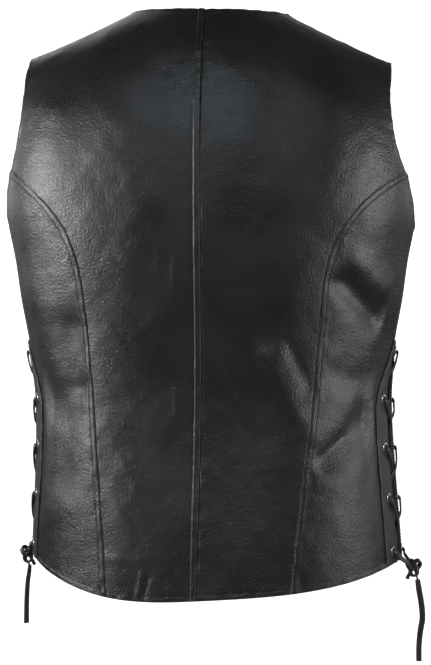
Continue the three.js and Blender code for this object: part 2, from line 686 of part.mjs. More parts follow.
// A knot's middle, the point below it where the free end leaves, and the way straight off the body
function knotPlaces(side, word) {
  const { z, out, exitAway } = KNOT_PLACES[word];
  const { point, normal } = place(sidePoint(sideY(z), z), side, 0, out);
  const away = normal.clone().setZ(0).normalize();
  const exit = point.clone().addScaledVector(away, exitAway);
  exit.z -= KNOT.exitDrop;
  return { centre: point, exit, away };
}

function knotSolid({ centre, exit, away }) {
  const loops = Array.from({ length: KNOT.loops }, (_, i) => {
    const loop = stripped(new THREE.TorusGeometry(KNOT.ringR, KNOT.barR, 5, 10));
    loop.rotateX(KNOT.tilt * (i - 1));
    loop.rotateY((i * Math.PI) / KNOT.loops);
    loop.scale(1, KNOT.tall, 1);
    loop.rotateX(Math.PI / 2);
    return toSolid(loop.translate(centre.x, centre.y, centre.z));
  });
  const stubEnd = centre.clone().addScaledVector(away, -STUB.inward);
  stubEnd.z -= STUB.down;
  const tails = [exit, stubEnd].map((end) => toSolid(bar([centre, end], END_R, END_SIDES)));
  return [...loops, ...tails].reduce((sum, piece) => sum.add(piece));
}

// The whole lacing of one side with its knot, but for the free end
function laceGeometry(side, word) {
  const [front, back] = [FRONT_EYELETS, BACK_EYELETS];
  const { z, enteredAt } = KNOT_PLACES[word];
  const knot = { y: sideY(z), z, enteredAt };
  const first = strand(side, [front[0], back[0], front[2], back[2], front[4]], CROSSING, knot);
  const second = strand(side, [front[1], back[1], front[3], back[3]], -CROSSING, knot);
  const link = [...underEyelet(side, front[1], front[0]).reverse(), ...underEyelet(side, front[0], front[1])];
  const lace = bar([...first.reverse(), ...link, ...second], LACE_R, LACE_SIDES);
  return fromSolid(toSolid(lace).add(knotSolid(knotPlaces(side, word))));
}

function freeEndGeometry(side, word) {
  const { exit, away } = knotPlaces(side, word);
  const points = LACE_ENDS[word].map((step) => {
    const point = exit.clone().addScaledVector(away, step.away);
    point.z -= step.down + END_GAP;
    return point;
  });
  const route = new THREE.CatmullRomCurve3(points, false, "centripetal");
  const angles = spaced(0, 2 * Math.PI, END_SIDES + 1).slice(1);
  const section = new THREE.Shape(
    angles.map((angle) => new THREE.Vector2(END_R * Math.cos(angle), END_R * Math.sin(angle))),
  );
  const steps = Math.round(route.getLength() / END_STEP);
  return new THREE.ExtrudeGeometry(section, { steps, bevelEnabled: false, extrudePath: route });
}

const group = new THREE.Group();

function addMesh(name, geometry, look) {
  const mesh = new THREE.Mesh(geometry, new THREE.MeshStandardMaterial(look));
  mesh.name = name;
  group.add(mesh);
}

const snapPlaces = SNAP_HEIGHTS.map((z) => place(new THREE.Vector3(0, depthAt(0, z, -1), z), 1));
const holeR = EYELET.barrelR + EYELET_CLEARANCE;

function addSide(side, word) {
  const toPlaces = (rows, lift = 0) => rows.map((row) => row.map((point) => place(point, side, lift)));
  const eyeletPlaces = (spots) => spots.map(({ y, z }) => place(sidePoint(y, z), side));
  const centre = toPlaces(centreBackRows());
  const sideBack = toPlaces(sideRows(1));
  const front = toPlaces(frontRows(), side > 0 ? LIFT : 0);
  const laced = [
    { where: "back", rows: sideBack, eyelets: eyeletPlaces(BACK_EYELETS) },
    { where: "front", rows: front, eyelets: eyeletPlaces(FRONT_EYELETS) },
  ];
  const [backWall, frontWall] = laced.map(({ rows, eyelets }) =>
    withHoles(wall(rows, 0, -LEATHER), eyelets, holeR, EYELET.sides),
  );
  addMesh(`back_${word}`, wall(centre, 0, -LEATHER), LEATHER_BLACK);
  addMesh(`side_back_${word}`, backWall, LEATHER_BLACK);
  addMesh(`front_${word}`, withHoles(frontWall, snapPlaces, SNAP.holeR, EYELET.sides), LEATHER_BLACK);
  for (const { where, rows, eyelets } of laced) {
    const bandRows = rows.slice(0, ROWS_BESIDE_SLIT + 1).map((row) => row.slice(-3));
    const band = wall(bandRows, LIE_GAP + BAND_LEATHER, LIE_GAP);
    addMesh(`lace_band_${where}_${word}`, withHoles(band, eyelets, holeR, EYELET.sides), BAND_BLACK);
    eyelets.forEach((spot, i) =>
      addMesh(`eyelet_${where}_${word}_${i + 1}`, seatedAt(eyeletGeometry(), spot), NICKEL),
    );
  }
  addMesh(`lace_${word}`, laceGeometry(side, word), LACE_BLACK);
  addMesh(`lace_end_${word}`, freeEndGeometry(side, word), LACE_BLACK);
}

addSide(1, "left");
addSide(-1, "right");
snapPlaces.forEach((spot, i) => addMesh(`snap_${i + 1}`, seatedAt(snapGeometry(), spot), NICKEL));

export default group;
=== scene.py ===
# A black leather vest with laced sides, hollow and upright as it hangs on a wearer's shoulders.
# The garment is worked out in millimetres on the wearer's left and mirrored, then made in metres.
# "side" is 1 for the wearer's left and -1 for the right; "face" is 1 for the back and -1 for the front.
import math

import bpy
import numpy as np
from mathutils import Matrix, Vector
from mathutils.bvhtree import BVHTree
from mathutils.kdtree import KDTree


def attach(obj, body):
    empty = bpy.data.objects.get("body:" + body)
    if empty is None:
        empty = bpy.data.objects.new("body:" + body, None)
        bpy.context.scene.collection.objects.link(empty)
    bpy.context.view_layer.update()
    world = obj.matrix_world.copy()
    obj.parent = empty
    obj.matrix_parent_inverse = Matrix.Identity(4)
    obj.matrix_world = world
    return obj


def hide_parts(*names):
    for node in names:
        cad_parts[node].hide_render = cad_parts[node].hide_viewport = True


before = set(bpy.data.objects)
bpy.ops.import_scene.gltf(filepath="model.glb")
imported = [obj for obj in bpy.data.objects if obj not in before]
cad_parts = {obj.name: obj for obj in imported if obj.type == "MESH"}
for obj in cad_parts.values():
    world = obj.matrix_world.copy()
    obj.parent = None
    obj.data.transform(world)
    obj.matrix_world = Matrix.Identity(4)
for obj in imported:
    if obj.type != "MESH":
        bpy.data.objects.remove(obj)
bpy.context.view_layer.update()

MM = 0.001
WORDS = {1: "left", -1: "right"}
FACES = {1: "back", -1: "front"}

# Camera: level, from behind and a little to the wearer's right
PHOTO_HEIGHT = 665
MM_PER_PIXEL = 1.06
CAMERA_AZIMUTH = math.radians(185.2)
CAMERA_DISTANCE = 2500
AIM_Z = -337
AIM_ACROSS = 4.8
SENSOR = 36
CAMERA_SEES_TO = 50  # metres


def make_camera():
    out = np.array([math.sin(CAMERA_AZIMUTH), -math.cos(CAMERA_AZIMUTH), 0])
    right = np.array([math.cos(CAMERA_AZIMUTH), math.sin(CAMERA_AZIMUTH), 0])
    aim = right * AIM_ACROSS + np.array([0, 0, AIM_Z])
    data = bpy.data.cameras.new("camera")
    data.sensor_width = SENSOR
    data.lens = SENSOR * CAMERA_DISTANCE / (PHOTO_HEIGHT * MM_PER_PIXEL)
    data.clip_end = CAMERA_SEES_TO
    camera = bpy.data.objects.new("camera", data)
    camera.location = Vector((aim + out * CAMERA_DISTANCE) * MM)
    camera.rotation_euler = (math.pi / 2, 0, CAMERA_AZIMUTH)
    bpy.context.scene.collection.objects.link(camera)
    bpy.context.scene.camera = camera


make_camera()

# Leather
LEATHER = 2
BAND_LEATHER = 1.4
LIE_GAP = 0.15

# Rings of the garment: |x / half_width| ** flat + |y / depth| ** point = 1
RINGS = [
    dict(z=-174, half_width=216.5, back_depth=126, front_depth=121, flat=2.5, point=2.3),
    dict(z=-215, half_width=216.3, back_depth=125, front_depth=124, flat=2.5, point=2.2),
    dict(z=-260, half_width=208.2, back_depth=121, front_depth=125, flat=2.6, point=2),
    dict(z=-302, half_width=202.3, back_depth=115.5, front_depth=122, flat=2.8, point=1.8),
    dict(z=-345, half_width=194.5, back_depth=110, front_depth=118, flat=3, point=1.65),
    dict(z=-398, half_width=189, back_depth=106.5, front_depth=116, flat=3.1, point=1.58),
    dict(z=-440, half_width=189, back_depth=107, front_depth=116.5, flat=3.1, point=1.56),
    dict(z=-493, half_width=191.5, back_depth=111, front_depth=118, flat=3, point=1.6),
    dict(z=-546, half_width=194.8, back_depth=116.5, front_depth=119.5, flat=2.9, point=1.65),
    dict(z=-620, half_width=199, back_depth=123, front_depth=121, flat=2.8, point=1.7),
]
RING_Z = np.array([row["z"] for row in RINGS], float)
RING_COLUMNS = {name: np.array([row[name] for row in RINGS], float) for name in RINGS[0]}

# Shoulders
ARCH_Z = RINGS[0]["z"]
ARCH_POWER = 2.3
NECK_HALF_WIDTH = 81
SHOULDER_TIP_X = 191
RIDGE_SLOPE = 0.52
RIDGE_EASING = 0.06
BACK_NECK_Z = -2

# Hem, and how the vest hangs
HEM_SIDE_Z = -574
HEM_DROP = 34.5
HEM_POWER = 2.8
SWING_TOP = -320
SWING_BOTTOM = -610
HEM_TURN = math.radians(4)
HEM_LEAN = -5
HEM_SWAY = 3.2
SWAY_HALF_WAVE = 160
SHOULDER_TILT = 0.0245

# Curved seam of the back
PANEL_SEAM = dict(hem_x=100, hem_z=-606, slope=0.0906, curve_from=-310, curve_x=69.8, power=2.9)

# Armholes
UNDERARM_Z = -223
BACK_ARMHOLE = dict(extra_x=17.9, power=3, lower_power=2)
FRONT_ARMHOLE = dict(start_y=-62, scoop=8, power=1.2, lower_power=3)

# V neck and closing
V_Z = -262
V_POWER = 1.4
OVERLAP = 12.5
LIFT = 2.5
LIFT_FROM_X = 48
LIFT_TO_X = 90
SNAP_HEIGHTS = [-285, -372, -459, -546]

# Laced sides
SLIT_TOP = -345
SLIT_OPEN_BY = -400
SLIT_HALF_GAP = 10
SLIT_Y = 8
BAND_WIDTH = 24
BACK_BAND_TAPER = dict(bottom=-415, top=-347, share=0.86, power=1.25)
EYELET_INSET = 10
EYELET_HEIGHTS = [-356, -406.5, -456, -508, -562]
EYELET_HOLE = 2.75
EYELET_OUTER = 5.25
HOLE_ROOM = 0.6

# Knots and free ends of the laces: how far down and how far away from the body
KNOT_Z = {1: -575, -1: -579}
KNOT_OUT = {1: 6, -1: 15}
KNOT_EXIT_DROP = 13
KNOT_EXIT_AWAY = {1: -2, -1: 4}
SEAM_GAP = 0.3
LACE_ENDS = {
    1: [(0, 0), (8, 0.8), (16, 2), (26, 2.8), (38, 3.3), (50, 3.5), (62, 3.6)],
    -1: [(0, 0), (10, 1.5), (20, 3.3), (30, 4.7), (41, 5.1), (51, 3.4), (62, 2), (74, 1.4), (85, 1.5)],
}

# Folds. Each is a soft trough, or a ridge where depth is negative, along a line in front view.
FOLD_COLUMNS = ("side", "face", "x1", "z1", "x2", "z2", "width", "depth")
FOLDS = [
    (-1, 1, 140, -281, 184, -330, 13, 6.5),
    (-1, 1, 152, -258, 188, -296, 13, -3),
    (-1, 1, 122, -478, 176, -412, 16, 5),
    (-1, 1, 132, -378, 172, -392, 16, 3),
    (-1, 1, 68, -348, 112, -452, 15, -3.5),
    (1, 1, 138, -322, 133, -402, 15, 4.5),
    (1, 1, 150, -420, 150, -500, 18, 3),
    (1, -1, 142, -300, 176, -352, 14, 4.5),
    (-1, -1, 136, -298, 174, -344, 14, 4),
    (1, -1, 92, -398, 160, -440, 16, 3.5),
    (-1, -1, 88, -420, 158, -452, 16, 3.5),
]
CREASES = [
    (1, 1, 134, -414, 178, -402, 26, 6),
    (1, 1, 26, -255, 27, -300, 3.2, -0.7),
    (1, 1, 42, -250, 43, -282, 3, -0.5),
    (1, 1, 27, -392, 25, -425, 3, -0.8),
    (1, 1, 55, -572, 62, -604, 3, -0.9),
    (1, 1, 49, -580, 56, -606, 2.6, 0.8),
    (1, 1, 28, -592, 29, -606, 2.2, -0.7),
    (1, 1, 30, -562, 104, -566, 5, -0.6),
    (1, 1, 60, -500, 88, -456, 4, -0.5),
    (1, 1, 66, -540, 92, -506, 4, -0.5),
    (-1, 1, 56, -346, 100, -436, 7, -1.5),
    (-1, 1, 84, -340, 112, -398, 7, 1.2),
    (-1, 1, 150, -440, 118, -470, 5, 1.2),
    (-1, 1, 140, -520, 146, -560, 8, -0.8),
    (-1, -1, 60, -300, 64, -380, 6, -0.8),
    (1, -1, 70, -330, 66, -390, 6, -0.8),
    (1, -1, 60, -560, 66, -600, 3.5, -0.8),
    (-1, -1, 70, -566, 64, -602, 3.5, -0.8),
]
FOLD_KEEPS_OFF = 34
FOLD_FADE = 14

# Grid of the panels, in millimetres
GRID_STEP = 2.8
EDGE_STEPS = np.array([0, 0.12, 0.4, 0.9, 1.6, 2.4, 3.4, 4.6, 5.2, 5.8, 6.4, 7.0, 7.8, 9.2])
EDGE_ROUNDING = 0.9
SHOULDER_REACH = 250


def smooth(share):
    share = np.clip(share, 0, 1)
    return share * share * (3 - 2 * share)


def lerp(start, end, share):
    return start + (end - start) * share


def unit(vectors):
    return vectors / np.maximum(np.linalg.norm(vectors, axis=-1, keepdims=True), 1e-12)


def points(x, y, z):
    return np.stack(np.broadcast_arrays(x, y, z), axis=-1).astype(float)


def reach_along(line):
    """The distance along a line at each of its points."""
    return np.concatenate([[0], np.cumsum(np.linalg.norm(np.diff(line, axis=0), axis=1))])


# The form


def ring_value(column, z):
    """One column of RINGS at heights z, as a smooth curve through the rows that starts level at the top."""
    values = RING_COLUMNS[column]
    slopes = np.zeros(len(values))
    slopes[1:-1] = (values[2:] - values[:-2]) / (RING_Z[2:] - RING_Z[:-2])
    slopes[-1] = (values[-1] - values[-2]) / (RING_Z[-1] - RING_Z[-2])
    z = np.minimum(z, RING_Z[0])
    i = np.clip(np.searchsorted(-RING_Z, -z) - 1, 0, len(RING_Z) - 2)
    step = RING_Z[i + 1] - RING_Z[i]
    t = (z - RING_Z[i]) / step
    passed = 3 * t**2 - 2 * t**3
    bend = slopes[i] * (t**3 - 2 * t**2 + t) + slopes[i + 1] * (t**3 - t**2)
    return lerp(values[i], values[i + 1], passed) + bend * step


def depth_of(face, z):
    return np.where(np.asarray(face) > 0, ring_value("back_depth", z), ring_value("front_depth", z))


def depth_at(x, z, face):
    across = np.minimum(1, np.abs(x) / ring_value("half_width", z)) ** ring_value("flat", z)
    return face * depth_of(face, z) * (1 - across) ** (1 / ring_value("point", z))


def width_at(y, z):
    deep = np.minimum(1, np.abs(y) / depth_of(np.where(y >= 0, 1, -1), z)) ** ring_value("point", z)
    return ring_value("half_width", z) * (1 - deep) ** (1 / ring_value("flat", z))


def side_point(y, z):
    return points(width_at(y, z), y, z)


def turn_at_x(x, z, face):
    across = np.minimum(1, x / ring_value("half_width", z)) ** (ring_value("flat", z) / 2)
    turn = np.arcsin(across) / (math.pi / 2)
    return turn if face > 0 else 2 - turn


def turn_at_y(y, z):
    deep = np.minimum(1, np.abs(y) / depth_of(np.where(y >= 0, 1, -1), z)) ** (ring_value("point", z) / 2)
    turn = np.arccos(deep) / (math.pi / 2)
    return np.where(y >= 0, turn, 2 - turn)


def ring_point(turn, z):
    angle = turn * math.pi / 2
    face = np.where(turn <= 1, 1, -1)
    x = ring_value("half_width", z) * np.abs(np.sin(angle)) ** (2 / ring_value("flat", z))
    y = face * depth_of(face, z) * np.abs(np.cos(angle)) ** (2 / ring_value("point", z))
    return points(x, y, z)


def ridge_z(x):
    past = x - NECK_HALF_WIDTH
    inner = RIDGE_SLOPE / (2 * NECK_HALF_WIDTH) * (NECK_HALF_WIDTH**2 - x**2)
    outer = -RIDGE_SLOPE * past + RIDGE_EASING * past**2 / (SHOULDER_TIP_X - NECK_HALF_WIDTH)
    return np.where(past < 0, inner, outer)


def shoulder_point(x, climb, face):
    height = 1 - (1 - climb) ** 2
    rounding = np.where(
        height > 0.9999, ARCH_POWER, (1 - height**ARCH_POWER) / np.maximum(1 - height, 1e-9)
    )
    y = depth_at(x, ARCH_Z, face) * (1 - climb) * np.sqrt(rounding)
    return points(x, y, lerp(ARCH_Z, ridge_z(np.abs(x)), height))


def climb_at(x, z):
    return 1 - np.sqrt(np.maximum(0, 1 - (z - ARCH_Z) / (ridge_z(np.abs(x)) - ARCH_Z)))


def form_value(at):
    x, y, z = np.moveaxis(at, -1, 0)
    face = np.where(y >= 0, 1, -1)
    across = np.abs(x) / ring_value("half_width", z)
    deep = np.abs(y) / depth_of(face, z)
    below = across ** ring_value("flat", z) + deep ** ring_value("point", z) - 1
    high = np.maximum(z - ARCH_Z, 0) / (ridge_z(np.abs(x)) - ARCH_Z)
    above = (y / depth_at(x, ARCH_Z, face)) ** 2 + high**ARCH_POWER - 1
    return np.where(z < ARCH_Z, below, above)


def form_normal(at):
    step = 0.05
    slopes = [form_value(at + axis * step) - form_value(at - axis * step) for axis in np.eye(3)]
    return unit(np.stack(slopes, axis=-1))


def hang(at):
    share = smooth((SWING_TOP - at[..., 2]) / (SWING_TOP - SWING_BOTTOM))
    cosine = np.cos(HEM_TURN * share)
    sine = np.sin(HEM_TURN * share)
    x = at[..., 0] * cosine + at[..., 1] * sine + HEM_LEAN * share
    y = at[..., 1] * cosine - at[..., 0] * sine
    sway = HEM_SWAY * np.sin(math.pi * at[..., 0] / SWAY_HALF_WAVE) * share
    tilt = SHOULDER_TILT * at[..., 0] * smooth((at[..., 2] - SWING_TOP) / -SWING_TOP)
    return points(x, y, at[..., 2] - sway + tilt)


# Relief of the leather


def fold_depth(at, side, table):
    x, y, z = np.moveaxis(at, -1, 0)
    depth = np.zeros(x.shape)
    for row in table:
        fold = dict(zip(FOLD_COLUMNS, row))
        if fold["side"] != side:
            continue
        run = np.array([fold["x2"] - fold["x1"], fold["z2"] - fold["z1"]], float)
        length = np.hypot(*run)
        from_x = x - fold["x1"]
        from_z = z - fold["z1"]
        off = (from_x * run[1] - from_z * run[0]) / length
        along = (from_x * run[0] + from_z * run[1]) / length**2
        past = np.maximum(0, np.abs(along - 0.5) - 0.35) * length
        swell = np.exp(-((off / fold["width"]) ** 2) - (past / fold["width"]) ** 2)
        depth += fold["depth"] * swell * (np.where(y >= 0, 1, -1) == fold["face"])
    return depth


def waves(seed, shortest, longest, count=28):
    """Smooth random bumps of about unit size, whose wavelengths lie in a range."""
    draw = np.random.default_rng(seed)
    directions = unit(draw.normal(size=(count, 3)))
    lengths = np.exp(draw.uniform(math.log(shortest), math.log(longest), count))
    phases = draw.uniform(0, 2 * math.pi, count)
    weights = (lengths / longest) ** 0.7

    def value(at):
        angles = at @ (directions * (2 * math.pi / lengths)[:, None]).T + phases
        return np.sin(angles) @ weights / math.sqrt((weights**2).sum() / 2)

    return value


SLOW_WAVES = waves(3, 55, 150)
SMALL_WAVES = waves(5, 14, 42)
PUCKER_WAVES = waves(11, 9, 26)


def side_y(z):
    return SLIT_Y * smooth((UNDERARM_Z - z) / (UNDERARM_Z - SLIT_TOP))


def leather_relief(at, side):
    """How far the leather stands out from the form: folds, creases and slight unevenness."""
    beyond_bands = smooth((np.abs(at[..., 1] - side_y(at[..., 2])) - FOLD_KEEPS_OFF) / FOLD_FADE)
    sided = at * np.array([side, 1, 1])
    large = fold_depth(at, side, FOLDS) + fold_depth(at, side, CREASES)
    uneven = 0.5 * SLOW_WAVES(sided) + 0.14 * SMALL_WAVES(sided)
    return (uneven - large) * beyond_bands


def front_lift(at, side, face):
    if side < 0 or face > 0:
        return np.zeros(at.shape[:-1])
    return LIFT * (1 - smooth((np.abs(at[..., 0]) - LIFT_FROM_X) / (LIFT_TO_X - LIFT_FROM_X)))


def place(at, side, out=0):
    """Points on the form, moved out from it, mirrored to their side and hung; and the normals there."""
    normal = form_normal(at)
    mirror = np.array([side, 1, 1])
    moved = at + normal * np.asarray(out)[..., None]
    here = hang(moved * mirror)
    there = hang((moved + normal) * mirror)
    return here, unit(there - here)


# Seams and edges


def hem_z(x):
    across = np.minimum(1, np.abs(x) / ring_value("half_width", HEM_SIDE_Z))
    return HEM_SIDE_Z - HEM_DROP * (1 - across**HEM_POWER)


def panel_seam_x(z):
    seam = PANEL_SEAM
    curve = np.maximum(0, (z - seam["curve_from"]) / (ARCH_Z - seam["curve_from"])) ** seam["power"]
    return seam["hem_x"] + seam["slope"] * (z - seam["hem_z"]) + seam["curve_x"] * curve


FRONT_CORNER_X = float(width_at(np.float64(FRONT_ARMHOLE["start_y"]), ARCH_Z))


def seam_x(z, face):
    return panel_seam_x(z) * (1 if face > 0 else FRONT_CORNER_X / panel_seam_x(ARCH_Z))


def seam_hem_z(face):
    return hem_z(seam_x(PANEL_SEAM["hem_z"], face))


def slit_edge_y(z, face):
    return side_y(z) + face * SLIT_HALF_GAP * smooth((SLIT_TOP - z) / (SLIT_TOP - SLIT_OPEN_BY))


def y_along(z, start_y, distance):
    steps = 12
    y = start_y
    for _ in range(steps):
        slope = width_at(y + 0.5, z) - width_at(y - 0.5, z)
        y = y + distance / steps / np.hypot(1, slope)
    return y


def band_width(z, face):
    if face < 0:
        return np.full(np.shape(z), float(BAND_WIDTH))
    taper = BACK_BAND_TAPER
    share = np.clip((z - taper["bottom"]) / (taper["top"] - taper["bottom"]), 0, 1)
    narrowed = 1 - taper["share"] * share ** taper["power"]
    return BAND_WIDTH * lerp(narrowed, 1, smooth((z - SLIT_TOP) / (UNDERARM_Z - SLIT_TOP)))


def back_armhole_x(climb):
    return SHOULDER_TIP_X + BACK_ARMHOLE["extra_x"] * (1 - climb) ** (2 * BACK_ARMHOLE["power"])


def front_armhole_x(climb):
    below = (1 - climb) ** 2
    spread = (FRONT_CORNER_X - SHOULDER_TIP_X) * below ** FRONT_ARMHOLE["power"]
    return SHOULDER_TIP_X + spread - FRONT_ARMHOLE["scoop"] * np.sin(math.pi * below) ** 2


def underarm_z(y, face):
    corner_y = depth_at(back_armhole_x(0), ARCH_Z, 1) if face > 0 else FRONT_ARMHOLE["start_y"]
    power = BACK_ARMHOLE["lower_power"] if face > 0 else FRONT_ARMHOLE["lower_power"]
    return lerp(UNDERARM_Z, ARCH_Z, np.abs(y / corner_y) ** power)


def front_edge_x(z):
    up = np.clip((z - V_Z) / -V_Z, 0, 1)
    return lerp(-OVERLAP, NECK_HALF_WIDTH, 1 - (1 - up) ** V_POWER)


def back_neck_climb(x):
    inside = np.minimum(x, NECK_HALF_WIDTH)
    climb = climb_at(inside, BACK_NECK_Z * (1 - (inside / NECK_HALF_WIDTH) ** 2))
    return np.where(x >= NECK_HALF_WIDTH, 1, climb)


# Grids of points on the form


def spread_out(length, low_edge=True):
    """Shares of a length, crowded at the ends that are edges."""
    low = EDGE_STEPS if low_edge else np.array([0.0])
    count = max(2, round((length - low[-1] - EDGE_STEPS[-1]) / GRID_STEP))
    middle = np.linspace(low[-1], length - EDGE_STEPS[-1], count + 1)[1:-1]
    return np.concatenate([low, middle, (length - EDGE_STEPS)[::-1]]) / length


def across_columns(surface, rows, width, low_edge=True):
    """The columns of each row of a surface(share, row), crowded by real distance at both edges."""
    dense = np.linspace(0, 1, 121)
    samples = surface(dense[None, :], rows[:, None])
    steps = np.linalg.norm(np.diff(samples, axis=1), axis=-1)
    reach = np.concatenate([np.zeros((len(rows), 1)), np.cumsum(steps, axis=1)], axis=1)
    low = EDGE_STEPS if low_edge else np.array([0.0])
    count = max(2, round((width - low[-1] - EDGE_STEPS[-1]) / GRID_STEP))
    between = np.linspace(0, 1, count + 1)[1:-1]
    shares = []
    for row in reach:
        squeeze = min(1, 0.4 * row[-1] / EDGE_STEPS[-1])
        start = low * squeeze
        end = row[-1] - (EDGE_STEPS * squeeze)[::-1]
        targets = np.concatenate([start, lerp(start[-1], end[0], between), end])
        shares.append(np.interp(targets, row, dense))
    return surface(np.array(shares), rows[:, None])


RISES = spread_out(ARCH_Z - HEM_SIDE_Z)
CLIMBS = spread_out(SHOULDER_REACH, low_edge=False)[1:]


def centre_back_surface(share, rise):
    width = panel_seam_x(lerp(seam_hem_z(1), ARCH_Z, rise))
    z = lerp(hem_z(share * PANEL_SEAM["hem_x"]), ARCH_Z, rise)
    return points(share * width, depth_at(share * width, z, 1), z)


def shoulder_back_surface(share, climb):
    top_x = share * SHOULDER_TIP_X
    return shoulder_point(share * back_armhole_x(climb), climb * back_neck_climb(top_x), 1)


def side_ends(rise, face):
    """The turns of a side's seam and slit edge at shares of the way up."""
    edge_z = lerp(HEM_SIDE_Z, UNDERARM_Z, rise)
    seam_z = lerp(seam_hem_z(face), ARCH_Z, rise)
    seam_turn = turn_at_x(seam_x(seam_z, face), seam_z, face)
    slit_turn = turn_at_y(slit_edge_y(edge_z, face), edge_z)
    return seam_turn, slit_turn


def side_surface(face):
    def surface(share, rise):
        seam_turn, slit_turn = side_ends(rise, face)
        turn = lerp(seam_turn, slit_turn, share)
        bottom_turn = lerp(*side_ends(np.zeros(1), face), share)
        top_turn = lerp(*side_ends(np.ones(1), face), share)
        bottom = hem_z(ring_point(bottom_turn, HEM_SIDE_Z)[..., 0])
        ends = hem_z(ring_point(np.concatenate(side_ends(np.zeros(1), face)), HEM_SIDE_Z)[..., 0])
        bottom = bottom + lerp(seam_hem_z(face) - ends[0], HEM_SIDE_Z - ends[1], share)
        top = underarm_z(ring_point(top_turn, ARCH_Z)[..., 1], face)
        return ring_point(turn, lerp(bottom, top, rise))

    return surface


def front_surface(share, rise):
    width = seam_x(lerp(seam_hem_z(-1), ARCH_Z, rise), -1)
    open_x = front_edge_x(lerp(hem_z(OVERLAP), ARCH_Z, rise))
    hem_half = seam_x(PANEL_SEAM["hem_z"], -1)
    z = lerp(hem_z(lerp(-OVERLAP, hem_half, share)), ARCH_Z, rise)
    x = lerp(open_x, width, share)
    return points(x, depth_at(x, z, -1), z)


def shoulder_front_surface(share, climb):
    edge_z = lerp(ARCH_Z, 0, 1 - (1 - climb) ** 2)
    edge_x = front_edge_x(edge_z)
    x = lerp(edge_x, front_armhole_x(climb), share)
    return shoulder_point(x, lerp(climb_at(edge_x, edge_z), climb, share), -1)


def band_surface(face):
    """The strip along a slit's edge: share 0 is its inner edge and 1 the slit's edge."""

    def surface(share, rise):
        z = lerp(HEM_SIDE_Z, SLIT_TOP, rise)
        reach = band_width(z, face)
        y = y_along(z, slit_edge_y(z, face), face * reach * (1 - share))
        return side_point(y, z)

    return surface


ASIDE = 8


class Grid:
    """Points on the form in rows of the same or a shorter length, with the quads between them."""

    def __init__(self, *blocks):
        rows = [row for block in blocks for row in block]
        self.at = np.concatenate(rows)
        self.starts = np.concatenate([[0], np.cumsum([len(row) for row in rows])])
        quads = []
        for i in range(len(rows) - 1):
            count = min(len(rows[i]), len(rows[i + 1])) - 1
            below = self.starts[i] + np.arange(count)
            above = self.starts[i + 1] + np.arange(count)
            quads.append(np.stack([below, below + 1, above + 1, above], axis=-1))
        self.quads = np.concatenate(quads)
        self.rows = len(rows)

    def rim(self):
        """Edges that only one quad has, as pairs of points in that quad's order."""
        edges = np.concatenate([self.quads[:, [k, (k + 1) % 4]] for k in range(4)])
        keys = np.sort(edges, axis=1)
        _, first, counts = np.unique(keys, axis=0, return_index=True, return_counts=True)
        return edges[first[counts == 1]]

    def row(self, i):
        i %= self.rows
        return np.arange(self.starts[i], self.starts[i + 1])

    def column(self, j, first=0, last=None):
        last = self.rows if last is None else last
        starts = self.starts if j >= 0 else self.starts[1:]
        return np.array([starts[i] + j for i in range(first, last)])

    def column_pair(self, j, first=0, last=None, aside=ASIDE):
        """A column at an edge, and one further in that shows which way is inward."""
        inner = j + aside if j >= 0 else j - aside
        return self.column(j, first, last), self.column(inner, first, last)


def distances(at, line):
    """Each point's distance to the nearest of a line's points."""
    tree = KDTree(len(line))
    for i, point in enumerate(line):
        tree.insert(point, i)
    tree.balance()
    return np.array([tree.find(point)[2] for point in at])


def densely(line, step=0.5):
    """A line's points at small equal steps."""
    reach = reach_along(line)
    targets = np.linspace(0, reach[-1], max(2, round(reach[-1] / step)))
    return np.stack([np.interp(targets, reach, line[:, k]) for k in range(3)], axis=-1)


# Mesh making


def new_object(name, vertices, faces, materials, face_slots=None, smooth_shaded=True):
    mesh = bpy.data.meshes.new(name)
    mesh.from_pydata((np.asarray(vertices) * MM).tolist(), [], [list(map(int, face)) for face in faces])
    for material in materials:
        mesh.materials.append(material)
    if face_slots is not None:
        mesh.polygons.foreach_set("material_index", np.asarray(face_slots, np.int32))
    mesh.polygons.foreach_set("use_smooth", np.full(len(faces), smooth_shaded))
    mesh.validate()
    mesh.update()
    thing = bpy.data.objects.new(name, mesh)
    bpy.context.scene.collection.objects.link(thing)
    return thing


def add_attribute(thing, name, values):
    layer = thing.data.attributes.new(name, "FLOAT", "POINT")
    layer.data.foreach_set("value", np.asarray(values, np.float32))


def dress(thing, node=None):
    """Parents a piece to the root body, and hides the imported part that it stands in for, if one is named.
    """
    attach(thing, "root")
    if node:
        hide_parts(node)


def tube_faces(rings, sides, closed=False):
    """Quads between neighbouring rings of points, and from the last ring to the first if closed."""
    return [
        (i * sides + k, i * sides + (k + 1) % sides,
         (i + 1) % rings * sides + (k + 1) % sides, (i + 1) % rings * sides + k)
        for i in range(rings if closed else rings - 1)
        for k in range(sides)
    ]


def end_faces(rings, sides):
    return [tuple(range(sides))[::-1], tuple((rings - 1) * sides + k for k in range(sides))]


def circle_about(normal, sides):
    """Points of a unit circle square to a direction."""
    across = unit(np.cross(normal, np.array([0.1, 0.2, 1.0])))
    up = np.cross(normal, across)
    angles = np.linspace(0, 2 * math.pi, sides, endpoint=False)
    return np.cos(angles)[:, None] * across + np.sin(angles)[:, None] * up


def joined(parts):
    """The vertices and faces of several parts as one mesh."""
    vertices, faces = [], []
    start = 0
    for part_vertices, part_faces in parts:
        vertices.append(part_vertices)
        faces += [tuple(start + corner for corner in face) for face in part_faces]
        start += len(part_vertices)
    return np.concatenate(vertices), faces


# Materials


